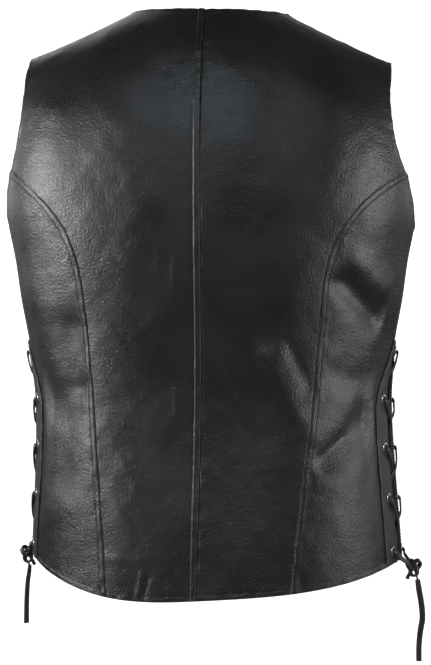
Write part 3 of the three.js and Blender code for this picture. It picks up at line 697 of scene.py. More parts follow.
class Nodes:
    """A new material's node tree, with short ways to add and link nodes."""

    def __init__(self, name):
        self.material = bpy.data.materials.new(name)
        self.material.use_nodes = True
        self.tree = self.material.node_tree
        self.shader = self.tree.nodes["Principled BSDF"]

    def add(self, kind, **settings):
        node = self.tree.nodes.new(kind)
        for name, value in settings.items():
            setattr(node, name, value)
        return node

    def link(self, source, target):
        self.tree.links.new(source, target)

    def fill(self, socket, value):
        """Gives a socket a colour, a number or another node's output."""
        if isinstance(value, tuple):
            socket.default_value = (*value, 1)
        elif isinstance(value, (int, float)):
            socket.default_value = value
        else:
            self.link(value, socket)

    def shade(self, **values):
        """Fills inputs of the surface shader, named with _ for a space."""
        for name, value in values.items():
            self.fill(self.shader.inputs[name.replace("_", " ")], value)

    def place(self):
        return self.add("ShaderNodeTexCoord").outputs["Object"]

    def noise(self, scale, detail=3, roughness=0.5, vector=None):
        node = self.add("ShaderNodeTexNoise")
        node.inputs["Scale"].default_value = scale
        node.inputs["Detail"].default_value = detail
        node.inputs["Roughness"].default_value = roughness
        self.link(vector or self.place(), node.inputs["Vector"])
        return node.outputs["Fac"]

    def cells(self, scale, vector=None, feature="F1", smoothness=None):
        node = self.add("ShaderNodeTexVoronoi", feature=feature)
        node.inputs["Scale"].default_value = scale
        if smoothness is not None:
            node.inputs["Smoothness"].default_value = smoothness
        self.link(vector or self.place(), node.inputs["Vector"])
        return node.outputs["Distance"]

    def map(self, source, low, high, to_low=0, to_high=1):
        node = self.add("ShaderNodeMapRange")
        self.link(source, node.inputs["Value"])
        for name, value in zip(("From Min", "From Max", "To Min", "To Max"), (low, high, to_low, to_high)):
            node.inputs[name].default_value = value
        return node.outputs["Result"]

    def math(self, operation, first, second):
        node = self.add("ShaderNodeMath", operation=operation)
        for socket, value in zip(node.inputs, (first, second)):
            self.fill(socket, value)
        return node.outputs["Value"]

    def warped(self, scale, amount):
        """Object coordinates bent by noise, so that cells come out uneven."""
        noise = self.add("ShaderNodeTexNoise")
        noise.inputs["Scale"].default_value = scale
        at = self.place()
        self.link(at, noise.inputs["Vector"])
        shift = self.add("ShaderNodeVectorMath", operation="SCALE")
        self.link(noise.outputs["Color"], shift.inputs[0])
        shift.inputs["Scale"].default_value = amount
        total = self.add("ShaderNodeVectorMath", operation="ADD")
        self.link(at, total.inputs[0])
        self.link(shift.outputs["Vector"], total.inputs[1])
        return total.outputs["Vector"]

    def stretched(self, x, y, z):
        node = self.add("ShaderNodeMapping")
        self.link(self.place(), node.inputs["Vector"])
        node.inputs["Scale"].default_value = (x, y, z)
        return node.outputs["Vector"]

    def attribute(self, name):
        return self.add("ShaderNodeAttribute", attribute_name=name).outputs["Fac"]

    def mix(self, share, first, second):
        node = self.add("ShaderNodeMix", data_type="RGBA")
        sockets = {s.identifier: s for s in node.inputs}
        for identifier, value in (("Factor_Float", share), ("A_Color", first), ("B_Color", second)):
            self.fill(sockets[identifier], value)
        return next(s for s in node.outputs if s.identifier == "Result_Color")

    def bump(self, height, distance, strength=1.0, below=None):
        node = self.add("ShaderNodeBump")
        node.inputs["Strength"].default_value = strength
        node.inputs["Distance"].default_value = distance
        self.link(height, node.inputs["Height"])
        if below is not None:
            self.link(below, node.inputs["Normal"])
        return node.outputs["Normal"]


def times(colour, factor):
    return tuple(factor * c for c in colour)


def pebbled_leather(name, black, edge_wear_and_highlight, roughness, grain=1.0):
    """Black leather with a pebbled grain, fine creases, and greyer, duller edges: the greyer edge colour is
    partly wear and partly a painted highlight along the rounded edges.
    """
    nodes = Nodes(name)
    pebbles = nodes.cells(560, nodes.warped(260, 0.0016), "SMOOTH_F1", 0.35)
    fine = nodes.cells(1500, nodes.warped(700, 0.0006))
    creases = nodes.noise(95, 5, 0.62, nodes.stretched(1, 1, 1.7))
    patches = nodes.noise(14, 3)
    height = nodes.math("ADD", nodes.math("MULTIPLY", pebbles, -1.0), nodes.math("MULTIPLY", fine, -0.3))
    soft = nodes.bump(creases, 0.0011 * grain, 0.42)
    # Edge mask: lightens the colour along the rim, as wear and as a painted highlight where the rounded
    # edge catches light
    edge = nodes.math("MULTIPLY", nodes.attribute("edge"), nodes.map(nodes.noise(240, 4), 0.42, 0.72))
    tone = nodes.mix(nodes.map(patches, 0.3, 0.75), black, times(black, 1.7))
    patchy = nodes.map(patches, 0.3, 0.7, roughness - 0.05, roughness + 0.06)
    dull = nodes.math("ADD", patchy, nodes.map(pebbles, 0, 0.9, -0.07, 0.14))
    nodes.shade(
        Normal=nodes.bump(height, 0.00045 * grain, 0.62, soft),
        Base_Color=nodes.mix(edge, tone, edge_wear_and_highlight),
        Roughness=nodes.math("ADD", dull, nodes.math("MULTIPLY", edge, 0.12)),
        Specular_IOR_Level=0.5,
    )
    return nodes.material


def suede(name, colour):
    """The flesh side of the leather: matte and fibrous."""
    nodes = Nodes(name)
    fibres = nodes.noise(900, 4, 0.7, nodes.stretched(1, 1, 0.35))
    nodes.shade(
        Base_Color=nodes.mix(nodes.map(nodes.noise(35, 4), 0.3, 0.7), colour, times(colour, 1.5)),
        Normal=nodes.bump(fibres, 0.0005, 0.6),
        Roughness=0.92,
        Sheen_Weight=0.25,
    )
    return nodes.material


def smooth_thong(name, colour):
    """Flat lace leather: satin face, with long faint grain lines."""
    nodes = Nodes(name)
    lines = nodes.noise(420, 4, 0.6, nodes.stretched(1, 1, 0.3))
    nodes.shade(
        Normal=nodes.bump(lines, 0.0003, 0.5),
        Base_Color=nodes.mix(nodes.map(lines, 0.35, 0.7), colour, times(colour, 2)),
        Roughness=nodes.map(nodes.noise(60), 0.3, 0.7, 0.38, 0.55),
    )
    return nodes.material


def plated(name, colour):
    """Nickel plate with light wear."""
    nodes = Nodes(name)
    wear = nodes.noise(700, 5, 0.7)
    nodes.shade(
        Base_Color=nodes.mix(nodes.map(wear, 0.45, 0.75), colour, times(colour, 0.72)),
        Roughness=nodes.map(wear, 0.35, 0.75, 0.16, 0.36),
        Normal=nodes.bump(wear, 0.00005, 0.3),
        Metallic=1,
    )
    return nodes.material


def twisted_thread(name, colour):
    nodes = Nodes(name)
    ply = nodes.noise(2600, 2, 0.5)
    nodes.shade(
        Base_Color=nodes.mix(nodes.map(ply, 0.35, 0.65), colour, times(colour, 2.2)),
        Normal=nodes.bump(ply, 0.0001, 0.6),
        Roughness=0.6,
        Sheen_Weight=0.15,
    )
    return nodes.material


def studio_paper(name):
    """Matt paper that glows by the stage's own amounts, so that it looks evenly lit."""
    nodes = Nodes(name)
    nodes.shade(
        Base_Color=nodes.mix(nodes.noise(3, 2), (0.86, 0.86, 0.86), (0.89, 0.89, 0.89)),
        Roughness=0.9,
        Emission_Strength=nodes.attribute("glow"),
        Emission_Color=(1, 1, 1),
    )
    return nodes.material


# The second colour of each leather is its lighter edge colour: wear, and a painted highlight on the rounded
# edges
LEATHER_OUTSIDE = pebbled_leather("black_leather", (0.0045, 0.0048, 0.0052), (0.024, 0.024, 0.025), 0.3)
BAND_OUTSIDE = pebbled_leather("band_leather", (0.009, 0.0092, 0.0098), (0.05, 0.05, 0.05), 0.42, 0.7)
LEATHER_INSIDE = suede("leather_flesh_side", (0.028, 0.027, 0.026))
THONG = smooth_thong("lace_leather", (0.009, 0.009, 0.0095))
NICKEL = plated("nickel_plate", (0.71, 0.68, 0.62))
THREAD = twisted_thread("black_thread", (0.012, 0.012, 0.012))

# Seams: rows of stitches at these distances, and how far the leather stands out beside them
CENTRE_STITCH = 6.9
SEAM_STITCH = 5.9
SHOULDER_STITCH = 5.6
EDGE_STITCH = 5.9
BAND_STITCH = 1.9
UNDER_STITCH = 1.7
TURNING = 11  # width of the leather that is turned in along the edges
PUCKER_DEPTH = 0.22
PUCKER_REACH = 9
# How far in from the rim the lighter edge colour reaches: wear and painted highlight
WEAR_AND_HIGHLIGHT_REACH = 1.6
LEAST_WALL = 0.1


def welt(height, width):
    return lambda away: height * (1 - smooth((away - width + 1.1) / 1.5))


def groove(distance, depth, spread=0.6):
    return lambda away: -depth * np.exp(-(((away - distance) / spread) ** 2))


EDGE_BULGE = welt(0.35, 5)


def rim_drop(away):
    inside = np.clip(1 - away / EDGE_ROUNDING, 0, 1)
    return EDGE_ROUNDING * (1 - np.sqrt(1 - inside**2))


class Panel:
    """A leather piece: a closed shell over a grid, with relief, seams and rounded edges."""

    def __init__(
        self, name, grid, side, face, seams, node, low=-LEATHER, high=0.0, outside=None, slot="leather"
    ):
        self.side, self.face, self.grid = side, face, grid
        at = grid.at
        rim = grid.rim()
        rim_line = np.concatenate([lerp(at[rim[:, 0]], at[rim[:, 1]], k / 4) for k in range(4)])
        away = distances(at, rim_line)
        relief = leather_relief(at, side) + front_lift(at, side, face)
        rounded = np.minimum(rim_drop(away), (high - low - LEAST_WALL) / 2)
        self.outer, self.normals = place(at, side, relief + high + self.seam_relief(seams) - rounded)
        inner, _ = place(at, side, relief + low + rounded)
        quads = grid.quads if side > 0 else grid.quads[:, ::-1]
        middle = quads[len(quads) // 2]
        across, along = self.outer[middle[2:]] - self.outer[middle[:2]]
        inside_out = np.dot(np.cross(across, along), self.normals[middle[0]]) < 0
        quads = quads[:, ::-1] if inside_out else quads
        count = len(at)
        walls = np.stack([rim[:, 1], rim[:, 0], rim[:, 0] + count, rim[:, 1] + count], axis=-1)
        if inside_out == (side > 0):
            walls = walls[:, ::-1]
        faces = np.concatenate([quads, quads[:, ::-1] + count, walls])
        turned_in = away[quads].mean(axis=1) < TURNING
        slots = np.concatenate([np.zeros(len(quads)), np.where(turned_in, 0, 1), np.zeros(len(walls))])
        materials = [outside or LEATHER_OUTSIDE, LEATHER_INSIDE]
        self.thing = new_object(name, np.concatenate([self.outer, inner]), faces, materials, slots)
        # Mask of the lighter edge colour: wear, and a painted highlight along the rounded rim
        wear = np.exp(-((away / WEAR_AND_HIGHLIGHT_REACH) ** 2))
        add_attribute(self.thing, "edge", np.concatenate([wear, wear * 0.5]))
        dress(self.thing, node)
        corners = self.outer[quads]
        spread = np.cross(corners[:, 2] - corners[:, 0], corners[:, 3] - corners[:, 1])
        self.area = np.linalg.norm(spread, axis=1).sum() / 2 * MM * MM
        self.tree = BVHTree.FromPolygons(self.outer.tolist(), quads.tolist())

    def seam_relief(self, seams):
        """How far the seams' welts, grooves and puckers move each point out."""
        at = self.grid.at
        puckers = PUCKER_DEPTH * PUCKER_WAVES(at * np.array([self.side, 1, 1]))
        relief = np.zeros(len(at))
        for line, profiles in seams:
            away = distances(at, densely(at[line]))
            relief += sum(profile(away) for profile in profiles)
            relief += puckers * np.exp(-((away / PUCKER_REACH) ** 2))
        return relief

    def line_inside(self, indices, inner_indices, distance):
        """A line on the panel's outside, at a distance from a stretch of its edge; points and normals."""
        edge = densely(self.grid.at[indices], 1.0)
        toward = densely(self.grid.at[inner_indices], 1.0)
        guide = toward[np.linspace(0, len(toward) - 1, len(edge)).round().astype(int)]
        along = unit(np.gradient(edge, axis=0))
        inward = np.cross(form_normal(edge), along)
        inward *= np.sign((inward * (guide - edge)).sum(axis=1).mean())
        line, _ = place(edge + inward * distance, self.side, front_lift(edge, self.side, self.face))
        found = [self.tree.find_nearest(point) for point in line]
        at = np.array([hit[0] for hit in found])
        normals = np.array([hit[1] for hit in found])
        facing = np.sign((normals * place(edge, self.side)[1]).sum(axis=1, keepdims=True))
        return at, normals * facing


def sew(name, lines, pitch=3.3, length=2.5, thickness=0.27):
    """All the stitches of some lines, as one mesh of small arched threads."""
    sides = 6
    offsets = np.array([-0.5, -0.38, 0, 0.38, 0.5]) * length
    heights = np.array([-0.25, 0.12, 0.24, 0.12, -0.25])
    radii = np.array([0.55, 0.95, 1, 0.95, 0.55]) * thickness
    angles = np.linspace(0, 2 * math.pi, sides, endpoint=False)
    vertices = []
    for at, normals in lines:
        reach = reach_along(at)
        centres = np.arange(pitch / 2, reach[-1] - pitch / 2, pitch)
        if not len(centres):
            continue
        where = centres[:, None] + offsets[None, :]
        spots = np.stack([np.interp(where, reach, at[:, k]) for k in range(3)], axis=-1)
        ups = unit(np.stack([np.interp(where, reach, normals[:, k]) for k in range(3)], axis=-1))
        along = unit(np.gradient(spots, axis=1))
        across = unit(np.cross(along, ups))
        spots = spots + ups * heights[None, :, None]
        rings = spots[:, :, None, :] + radii[None, :, None, None] * (
            np.cos(angles)[None, None, :, None] * across[:, :, None, :]
            + np.sin(angles)[None, None, :, None] * ups[:, :, None, :]
        )
        vertices.append(rings.reshape(len(centres), -1, 3))
    vertices = np.concatenate(vertices)
    rings = len(offsets)
    template = tube_faces(rings, sides) + end_faces(rings, sides)
    starts = np.arange(len(vertices)) * rings * sides
    faces = [tuple(start + corner for corner in face) for start in starts for face in template]
    thread = new_object(name, vertices.reshape(-1, 3), faces, [THREAD])
    dress(thread)


# Panels


def centre_back_panel(side):
    below = across_columns(centre_back_surface, RISES, 190)
    above = across_columns(shoulder_back_surface, CLIMBS, 190)
    grid = Grid(below, above)
    seam_rows = len(RISES)
    top = grid.row(-1)
    below_top = grid.row(-1 - ASIDE)
    top_x = grid.at[top, 0]
    on_shoulder = top_x > NECK_HALF_WIDTH - 1
    lines = {
        "centre": grid.column_pair(0),
        "panel": grid.column_pair(-1, 0, seam_rows),
        "shoulder": (top[on_shoulder], below_top[on_shoulder]),
    }
    lapped = [welt(0.85, CENTRE_STITCH), groove(CENTRE_STITCH, 0.5)] if side > 0 else [groove(0, 0.5, 1.2)]
    seams = [
        (lines["centre"][0], lapped),
        (lines["panel"][0], [welt(0.8, SEAM_STITCH), groove(SEAM_STITCH, 0.55)]),
        (grid.column(-1, seam_rows - 1), [EDGE_BULGE]),
        (grid.row(0), [EDGE_BULGE]),
        (top[top_x <= NECK_HALF_WIDTH], [EDGE_BULGE]),
        (lines["shoulder"][0], [welt(0.6, 5.4), groove(SHOULDER_STITCH, 0.4)]),
    ]
    word = WORDS[side]
    return Panel(f"leather_back_{word}", grid, side, 1, seams, f"back_{word}"), lines


def side_back_panel(side):
    grid = Grid(across_columns(side_surface(1), RISES, 150))
    lines = {"panel": grid.column_pair(0)}
    seams = [
        (lines["panel"][0], [welt(0.25, 3), groove(UNDER_STITCH, 0.4, 0.5)]),
        (grid.row(0), [EDGE_BULGE]),
        (grid.row(-1), [EDGE_BULGE]),
    ]
    word = WORDS[side]
    return Panel(f"leather_side_back_{word}", grid, side, 1, seams, f"side_back_{word}"), lines


def front_panel(side):
    centre = across_columns(front_surface, RISES, 120)
    beside = across_columns(side_surface(-1), RISES, 120, low_edge=False)
    above = across_columns(shoulder_front_surface, CLIMBS, 120)
    grid = Grid([np.concatenate([a, b[1:]]) for a, b in zip(centre, beside)], above)
    side_rows = len(RISES)
    underarm = grid.row(side_rows - 1)[centre.shape[1] - 1 :][::-1]
    lines = {"edge": grid.column_pair(0)}
    seams = [
        (lines["edge"][0], [EDGE_BULGE, groove(EDGE_STITCH, 0.35)]),
        (grid.row(0), [EDGE_BULGE]),
        (np.concatenate([underarm, grid.column(-1, side_rows)]), [EDGE_BULGE]),
        (grid.row(-1), [welt(0.3, 2.6), groove(UNDER_STITCH, 0.3, 0.5)]),
    ]
    word = WORDS[side]
    return Panel(f"leather_front_{word}", grid, side, -1, seams, f"front_{word}"), lines


def band_panel(side, face):
    rises = spread_out(SLIT_TOP - HEM_SIDE_Z)
    grid = Grid(across_columns(band_surface(face), rises, BAND_WIDTH))
    lines = {"inner": grid.column_pair(0, aside=4), "slit": grid.column_pair(-1, aside=4)}
    seams = [(lines["inner"][0], [groove(BAND_STITCH, 0.3, 0.5)])]
    name = f"{FACES[face]}_{WORDS[side]}"
    panel = Panel(
        f"band_{name}", grid, side, face, seams, f"lace_band_{name}", LIE_GAP, LIE_GAP + BAND_LEATHER,
        BAND_OUTSIDE, "band_leather",
    )
    return panel, lines


DRILL_REACH = 6


def cut_holes(panel, spots, radius):
    """Cuts a round hole through a panel at each spot."""
    sides = 24
    drills = []
    for centre, normal in spots:
        circle = radius * circle_about(normal, sides)
        ends = np.concatenate([centre + circle + reach * normal for reach in (-DRILL_REACH, DRILL_REACH)])
        drills.append((ends, end_faces(2, sides) + tube_faces(2, sides)))
    drill = new_object("drill", *joined(drills), [])
    cut = panel.thing.modifiers.new("cut", "BOOLEAN")
    cut.operation = "DIFFERENCE"
    cut.object = drill
    cut.solver = "EXACT"
    shown = panel.thing.evaluated_get(bpy.context.evaluated_depsgraph_get())
    mesh = bpy.data.meshes.new_from_object(shown)
    panel.thing.modifiers.clear()
    panel.thing.data = mesh
    bpy.data.objects.remove(drill)


# Metal


def lathed(name, outline, spot, segments, material, node):
    """A closed outline of (radius, height) turned about a spot's normal."""
    centre, normal = spot
    circle = circle_about(normal, segments)
    vertices = [centre + radius * ring + height * normal for radius, height in outline for ring in circle]
    faces = tube_faces(len(outline), segments, closed=True)
    thing = new_object(name, np.array(vertices), faces, [material])
    dress(thing, node)


def arc(centre, radius, start, end, count):
    angles = np.radians(np.linspace(start, end, count))
    return [(centre[0] + radius * math.cos(a), centre[1] + radius * math.sin(a)) for a in angles]


def eyelet_outline():
    top = LIE_GAP + BAND_LEATHER + 0.1
    bottom = -LEATHER - 0.15
    roll = 0.62
    return [
        *arc((EYELET_HOLE + 0.75, top), 0.75, 180, 95, 5),
        *arc((EYELET_OUTER - roll, top + 0.1), roll, 80, -60, 6),
        (EYELET_HOLE + 0.9, top),
        (EYELET_HOLE + 0.9, bottom),
        (EYELET_OUTER - 0.9, bottom),
        *arc((EYELET_OUTER - 0.9, bottom - 0.35), 0.35, 60, -90, 4),
        (EYELET_HOLE + 0.5, bottom - 0.8),
        (EYELET_HOLE, bottom - 0.4),
    ]


def snap_outline():
    base = LIFT + 0.1
    return [
        (0.02, -LEATHER - 0.3),
        (4.6, -LEATHER - 0.3),
        (5.0, -LEATHER - 0.9),
        (3.2, -LEATHER - 1.2),
        (0.02, -LEATHER - 1.2),
    ], [
        (0.02, base),
        (7.2, base),
        *arc((6.95, base + 0.45), 0.55, -60, 80, 5),
        (6.2, base + 1.05),
        *[(6.0 * math.cos(a), base + 0.85 + 1.35 * math.sin(a)) for a in np.radians(np.linspace(8, 88, 8))],
        (0.02, base + 2.2),
    ]


def eyelet_spots(face):
    heights = np.array(EYELET_HEIGHTS if face < 0 else EYELET_HEIGHTS[1:], float)
    y = y_along(heights, slit_edge_y(heights, face), face * EYELET_INSET)
    return y, heights


def spots_at(side, y, z):
    at = side_point(y, z)
    centres, normals = place(at, side, leather_relief(at, side))
    return list(zip(centres, normals))


# Laces

THONG_WIDTH = 5.8
THONG_THICK = 1.9
RIBBON_SIDES = 14
LACE_STEP = 1.4

# Knots, and how the free ends twist on their way down, in radians
UP = np.array([0.0, 0.0, 1.0])
KNOT = dict(wide=2.6, tall=3.2, deep=2.7, spread=2.2, steps=110, size=(5.2, 2.3))
KNOT_FACING = 1.1
KNOT_THONG = (5.2, 2)
KNOT_STUB = dict(turn=0.5, away_and_up=[(0, 2), (-3, -5), (-5.6, -9.5), (-7.2, -13)])
KNOT_TAIL = dict(turn=-0.3, away_and_up=[(0, -1), (2, -6.5)])
END_TWIST = {1: (0.6, 0.95), -1: (1.15, 1.8)}
END_WIDTH = 6.2
END_NARROWING = 0.8
END_SAMPLES = 24


def section(width, thick, sharpness=3.2):
    """A rounded oblong outline, as offsets across and through the thong."""
    angles = np.linspace(0, 2 * math.pi, RIBBON_SIDES, endpoint=False)
    across = np.sign(np.cos(angles)) * np.abs(np.cos(angles)) ** (2 / sharpness)
    through = np.sign(np.sin(angles)) * np.abs(np.sin(angles)) ** (2 / sharpness)
    return across * width / 2, through * thick / 2


def smooth_path(controls, columns, step=LACE_STEP):
    """A centripetal curve through control points, with each column of values carried along it."""
    controls = np.array(controls, float)
    columns = np.array(columns, float)
    padded = np.concatenate([[2 * controls[0] - controls[1]], controls, [2 * controls[-1] - controls[-2]]])
    knots = np.concatenate([[0], np.cumsum(np.sqrt(np.linalg.norm(np.diff(padded, axis=0), axis=1)))])
    route, carried = [], []
    for i in range(1, len(padded) - 2):
        t0, t1, t2, t3 = knots[i - 1 : i + 3]
        length = np.linalg.norm(padded[i + 1] - padded[i])
        t = np.linspace(t1, t2, max(2, round(length / step)) + 1)[:-1, None]
        a1 = (t1 - t) / (t1 - t0) * padded[i - 1] + (t - t0) / (t1 - t0) * padded[i]
        a2 = (t2 - t) / (t2 - t1) * padded[i] + (t - t1) / (t2 - t1) * padded[i + 1]
        a3 = (t3 - t) / (t3 - t2) * padded[i + 1] + (t - t2) / (t3 - t2) * padded[i + 2]
        b1 = (t2 - t) / (t2 - t0) * a1 + (t - t0) / (t2 - t0) * a2
        b2 = (t3 - t) / (t3 - t1) * a2 + (t - t1) / (t3 - t1) * a3
        route.append((t2 - t) / (t2 - t1) * b1 + (t - t1) / (t2 - t1) * b2)
        carried.append(lerp(columns[i - 1], columns[i], smooth((t - t1) / (t2 - t1))))
    route.append(controls[-1:])
    carried.append(columns[-1:])
    return np.concatenate(route), np.concatenate(carried)


def ribbon(route, across, widths, thicks, closed=False):
    """Vertices and faces of a flat thong along a route; across points along its width."""
    along = unit(np.roll(route, -1, 0) - np.roll(route, 1, 0) if closed else np.gradient(route, axis=0))
    across = unit(across - (across * along).sum(axis=1, keepdims=True) * along)
    through = np.cross(along, across)
    wide, thick = section(1, 1)
    vertices = (
        route[:, None, :]
        + across[:, None, :] * wide[None, :, None] * widths[:, None, None]
        + through[:, None, :] * thick[None, :, None] * thicks[:, None, None]
    )
    count, sides = vertices.shape[:2]
    faces = tube_faces(count, sides, closed) + ([] if closed else end_faces(count, sides))
    return vertices.reshape(-1, 3), faces


OVER_BAND = LIE_GAP + BAND_LEATHER + 1.3
OVER_FLANGE = OVER_BAND + 1.1
UNDER_PANEL = -LEATHER - 1.5
UNDER_WASHER = UNDER_PANEL - 1.2
CROSSING = 1.4
NARROW = (4.3, 3.1)
FLAT = (THONG_WIDTH, THONG_THICK)
# The thong's way out of an eyelet and its way in: distance from the axis, height, width and thickness
WAY_OUT = [
    (0, UNDER_WASHER + 2.6, NARROW),
    (0, 0, NARROW),
    (0, OVER_FLANGE - 2.2, NARROW),
    (1.2, OVER_FLANGE - 0.3, (4.7, 2.6)),
    (3.6, OVER_FLANGE + 0.5, (5.4, 2.1)),
    (7.2, OVER_FLANGE + 0.2, FLAT),
]
WAY_IN = [
    (6.6, UNDER_WASHER - 0.2, FLAT),
    (3, UNDER_WASHER - 0.3, (5, 2.4)),
    (0.8, UNDER_WASHER + 0.7, NARROW),
]


def lace_control(side, start, end, share, out, size):
    """One control point of the lace between two spots (y, z), with its width axis and size."""
    shares = np.array([share, share + 0.02])
    route = side_point(lerp(start[0], end[0], shares), lerp(start[1], end[1], shares))
    (here, ahead), normals = place(route, side, np.array([out, out]))
    return here, [*np.cross(normals[0], unit(ahead - here)), *size]


def lace_controls(side, start, end, ways, from_end=False):
    """Control points by their distance from the start, or the end, of the way between two spots."""
    apart = math.hypot(end[0] - start[0], end[1] - start[1])
    return [
        lace_control(side, start, end, 1 - away / apart if from_end else away / apart, out, size)
        for away, out, size in ways
    ]


def share_at_edge(start, end, face):
    shares = np.linspace(0, 1, 101)
    z = lerp(start[1], end[1], shares)
    beyond = lerp(start[0], end[0], shares) > slit_edge_y(z, face)
    return shares[np.argmax(beyond != beyond[0])]


def strand(side, spots, crossing, knot):
    """One strand of the lacing, out of each of its eyelets in turn and on to the next, then the knot."""
    controls = []
    for spot, following in zip(spots, spots[1:]):
        controls += lace_controls(side, spot, following, WAY_OUT)
        face = 1 if spot[0] > following[0] else -1
        own_edge = share_at_edge(spot, following, face) + 0.03
        far_edge = share_at_edge(spot, following, -face) - 0.06
        controls.append(lace_control(side, spot, following, own_edge, OVER_BAND + 0.5, FLAT))
        controls.append(lace_control(side, spot, following, (own_edge + far_edge) / 2, crossing, FLAT))
        controls.append(lace_control(side, spot, following, far_edge, UNDER_PANEL - 0.2, FLAT))
        controls += lace_controls(side, spot, following, WAY_IN, from_end=True)
    controls += lace_controls(side, spots[-1], knot, WAY_OUT)
    controls.append(lace_control(side, spots[-1], knot, 0.62, 0.55 * KNOT_OUT[side], (5.2, 2.2)))
    controls.append(lace_control(side, spots[-1], knot, 0.97, KNOT_OUT[side] - 1, (4.6, 2.4)))
    return controls


def knot_places(side):
    z = np.array([KNOT_Z[side]], float)
    centre, normal = place(side_point(side_y(z), z), side, np.array([float(KNOT_OUT[side])]))
    away = unit(normal[0] * np.array([1, 1, 0]))
    exit_at = centre[0] + away * KNOT_EXIT_AWAY[side] - UP * KNOT_EXIT_DROP
    return centre[0], exit_at, away


def turned(away, angle):
    """A level direction, turned from sideways toward the way out from the body."""
    sideways = np.array([-away[1], away[0], 0.0])
    return sideways * math.cos(angle) + away * math.sin(angle)


def knot_parts(side):
    """An overhand knot of the flat thong: a trefoil drawn tight, with its short end."""
    centre, exit_at, away = knot_places(side)
    turns = np.linspace(0, 2 * math.pi, KNOT["steps"], endpoint=False)
    wide = (np.sin(turns) + 2 * np.sin(2 * turns)) * KNOT["wide"]
    tall = (np.cos(turns) - 2 * np.cos(2 * turns)) * KNOT["tall"]
    deep = -np.sin(3 * turns) * KNOT["deep"]
    broad = turned(away, KNOT_FACING)
    through = np.cross(broad, UP)
    route = centre + wide[:, None] * broad + tall[:, None] * UP + deep[:, None] * through
    along = unit(np.roll(route, -1, 0) - np.roll(route, 1, 0))
    outward = unit(route - centre + through * np.sign(deep)[:, None] * KNOT["spread"])
    widths, thicks = (np.full(len(route), size) for size in KNOT["size"])
    parts = [ribbon(route, np.cross(along, outward), widths, thicks, closed=True)]
    for loose, last in ((KNOT_STUB, []), (KNOT_TAIL, [exit_at - UP * 0.2])):
        controls = [centre + away * out + UP * rise for out, rise in loose["away_and_up"]] + last
        columns = [[*turned(away, loose["turn"]), *KNOT_THONG]] * len(controls)
        parts.append(thong_along(controls, columns, 1.0))
    return parts


def thong_along(controls, columns, step=LACE_STEP):
    """The ribbon along a curve through control points, each with its width axis and size."""
    route, carried = smooth_path(controls, columns, step)
    return ribbon(route, carried[:, :3], carried[:, 3], carried[:, 4])


def flipped(row):
    """The same width axis and size, with the axis the other way round."""
    return [-c for c in row[:3]] + list(row[3:])


def align_axes(controls):
    """Turns each width axis the same way as the one before it, since a thong's two faces are alike."""
    aligned = [controls[0]]
    for here, row in controls[1:]:
        same = np.dot(aligned[-1][1][:3], row[:3]) >= 0
        aligned.append((here, list(row) if same else flipped(row)))
    return aligned


def make_lace(side):
    front = list(zip(*eyelet_spots(-1)))
    back = list(zip(*eyelet_spots(1)))
    knot = (float(side_y(np.float64(KNOT_Z[side]))), KNOT_Z[side])
    first = strand(side, [front[0], back[0], front[2], back[2], front[4]], CROSSING, knot)
    second = strand(side, [front[1], back[1], front[3], back[3]], -CROSSING, knot)
    link = lace_controls(side, front[1], front[0], WAY_IN, from_end=True)
    back_link = lace_controls(side, front[0], front[1], WAY_IN, from_end=True)
    whole = first[::-1] + link[::-1] + [(here, flipped(row)) for here, row in back_link] + second
    lacing = thong_along(*zip(*align_axes(whole)))
    word = WORDS[side]
    thing = new_object(f"thong_{word}", *joined([lacing, *knot_parts(side)]), [THONG])
    dress(thing, f"lace_{word}")


def make_free_end(side):
    word = WORDS[side]
    _, exit_at, away = knot_places(side)
    controls = [exit_at + away * out - UP * (down + SEAM_GAP) for down, out in LACE_ENDS[side]]
    twists = np.linspace(*END_TWIST[side], len(controls))
    columns = [
        [*turned(away, turn), END_WIDTH - END_NARROWING * (i == 0), THONG_THICK]
        for i, turn in enumerate(twists)
    ]
    thing = new_object(f"thong_end_{word}", *thong_along(controls, columns, 1.5), [THONG])
    dress(thing, f"lace_end_{word}")
    route, _ = smooth_path(controls, columns, 1.5)
    samples = densely(route, reach_along(route)[-1] / END_SAMPLES)
    float(reach_along(samples)[-1] * MM)


# The garment


def make_side(side):
    """The leather, stitching, eyelets and lace of one side."""
    word = WORDS[side]
    back, back_lines = centre_back_panel(side)
    side_back, side_lines = side_back_panel(side)
    front, front_lines = front_panel(side)
    bands = {face: band_panel(side, face) for face in (1, -1)}
    sewn = [
        back.line_inside(*back_lines["panel"], SEAM_STITCH),
        back.line_inside(*back_lines["shoulder"], SHOULDER_STITCH),
        side_back.line_inside(*side_lines["panel"], UNDER_STITCH),
        front.line_inside(*front_lines["edge"], EDGE_STITCH),
    ]
    if side > 0:
        sewn.append(back.line_inside(*back_lines["centre"], CENTRE_STITCH))
    for edge in ("inner", "slit"):
        sewn += [band.line_inside(*lines[edge], BAND_STITCH) for band, lines in bands.values()]
    sew(f"stitching_{word}", sewn)
    for face, panel in ((1, side_back), (-1, front)):
        spots = spots_at(side, *eyelet_spots(face))
        for pierced in (panel, bands[face][0]):
            cut_holes(pierced, spots, EYELET_HOLE + HOLE_ROOM)
        for i, spot in enumerate(spots):
            name = f"{FACES[face]}_{word}_{i + 1}"
            lathed(f"grommet_{name}", eyelet_outline(), spot, 28, NICKEL, f"eyelet_{name}")
    make_lace(side)


def make_snap(number, z):
    at = points(0, depth_at(0, np.float64(z), -1), z)[None]
    centres, normals = place(at, 1, leather_relief(at, 1))
    spot = (centres[0], normals[0])
    foot, cap = snap_outline()
    lathed(f"snap_cap_{number}", cap, spot, 36, NICKEL, f"snap_{number}")
    lathed(f"snap_foot_{number}", foot, spot, 24, NICKEL, f"snap_{number}")


for side in (1, -1):
    make_free_end(side)
for side in (1, -1):
    make_side(side)
for i, z in enumerate(SNAP_HEIGHTS):
    make_snap(i + 1, z)

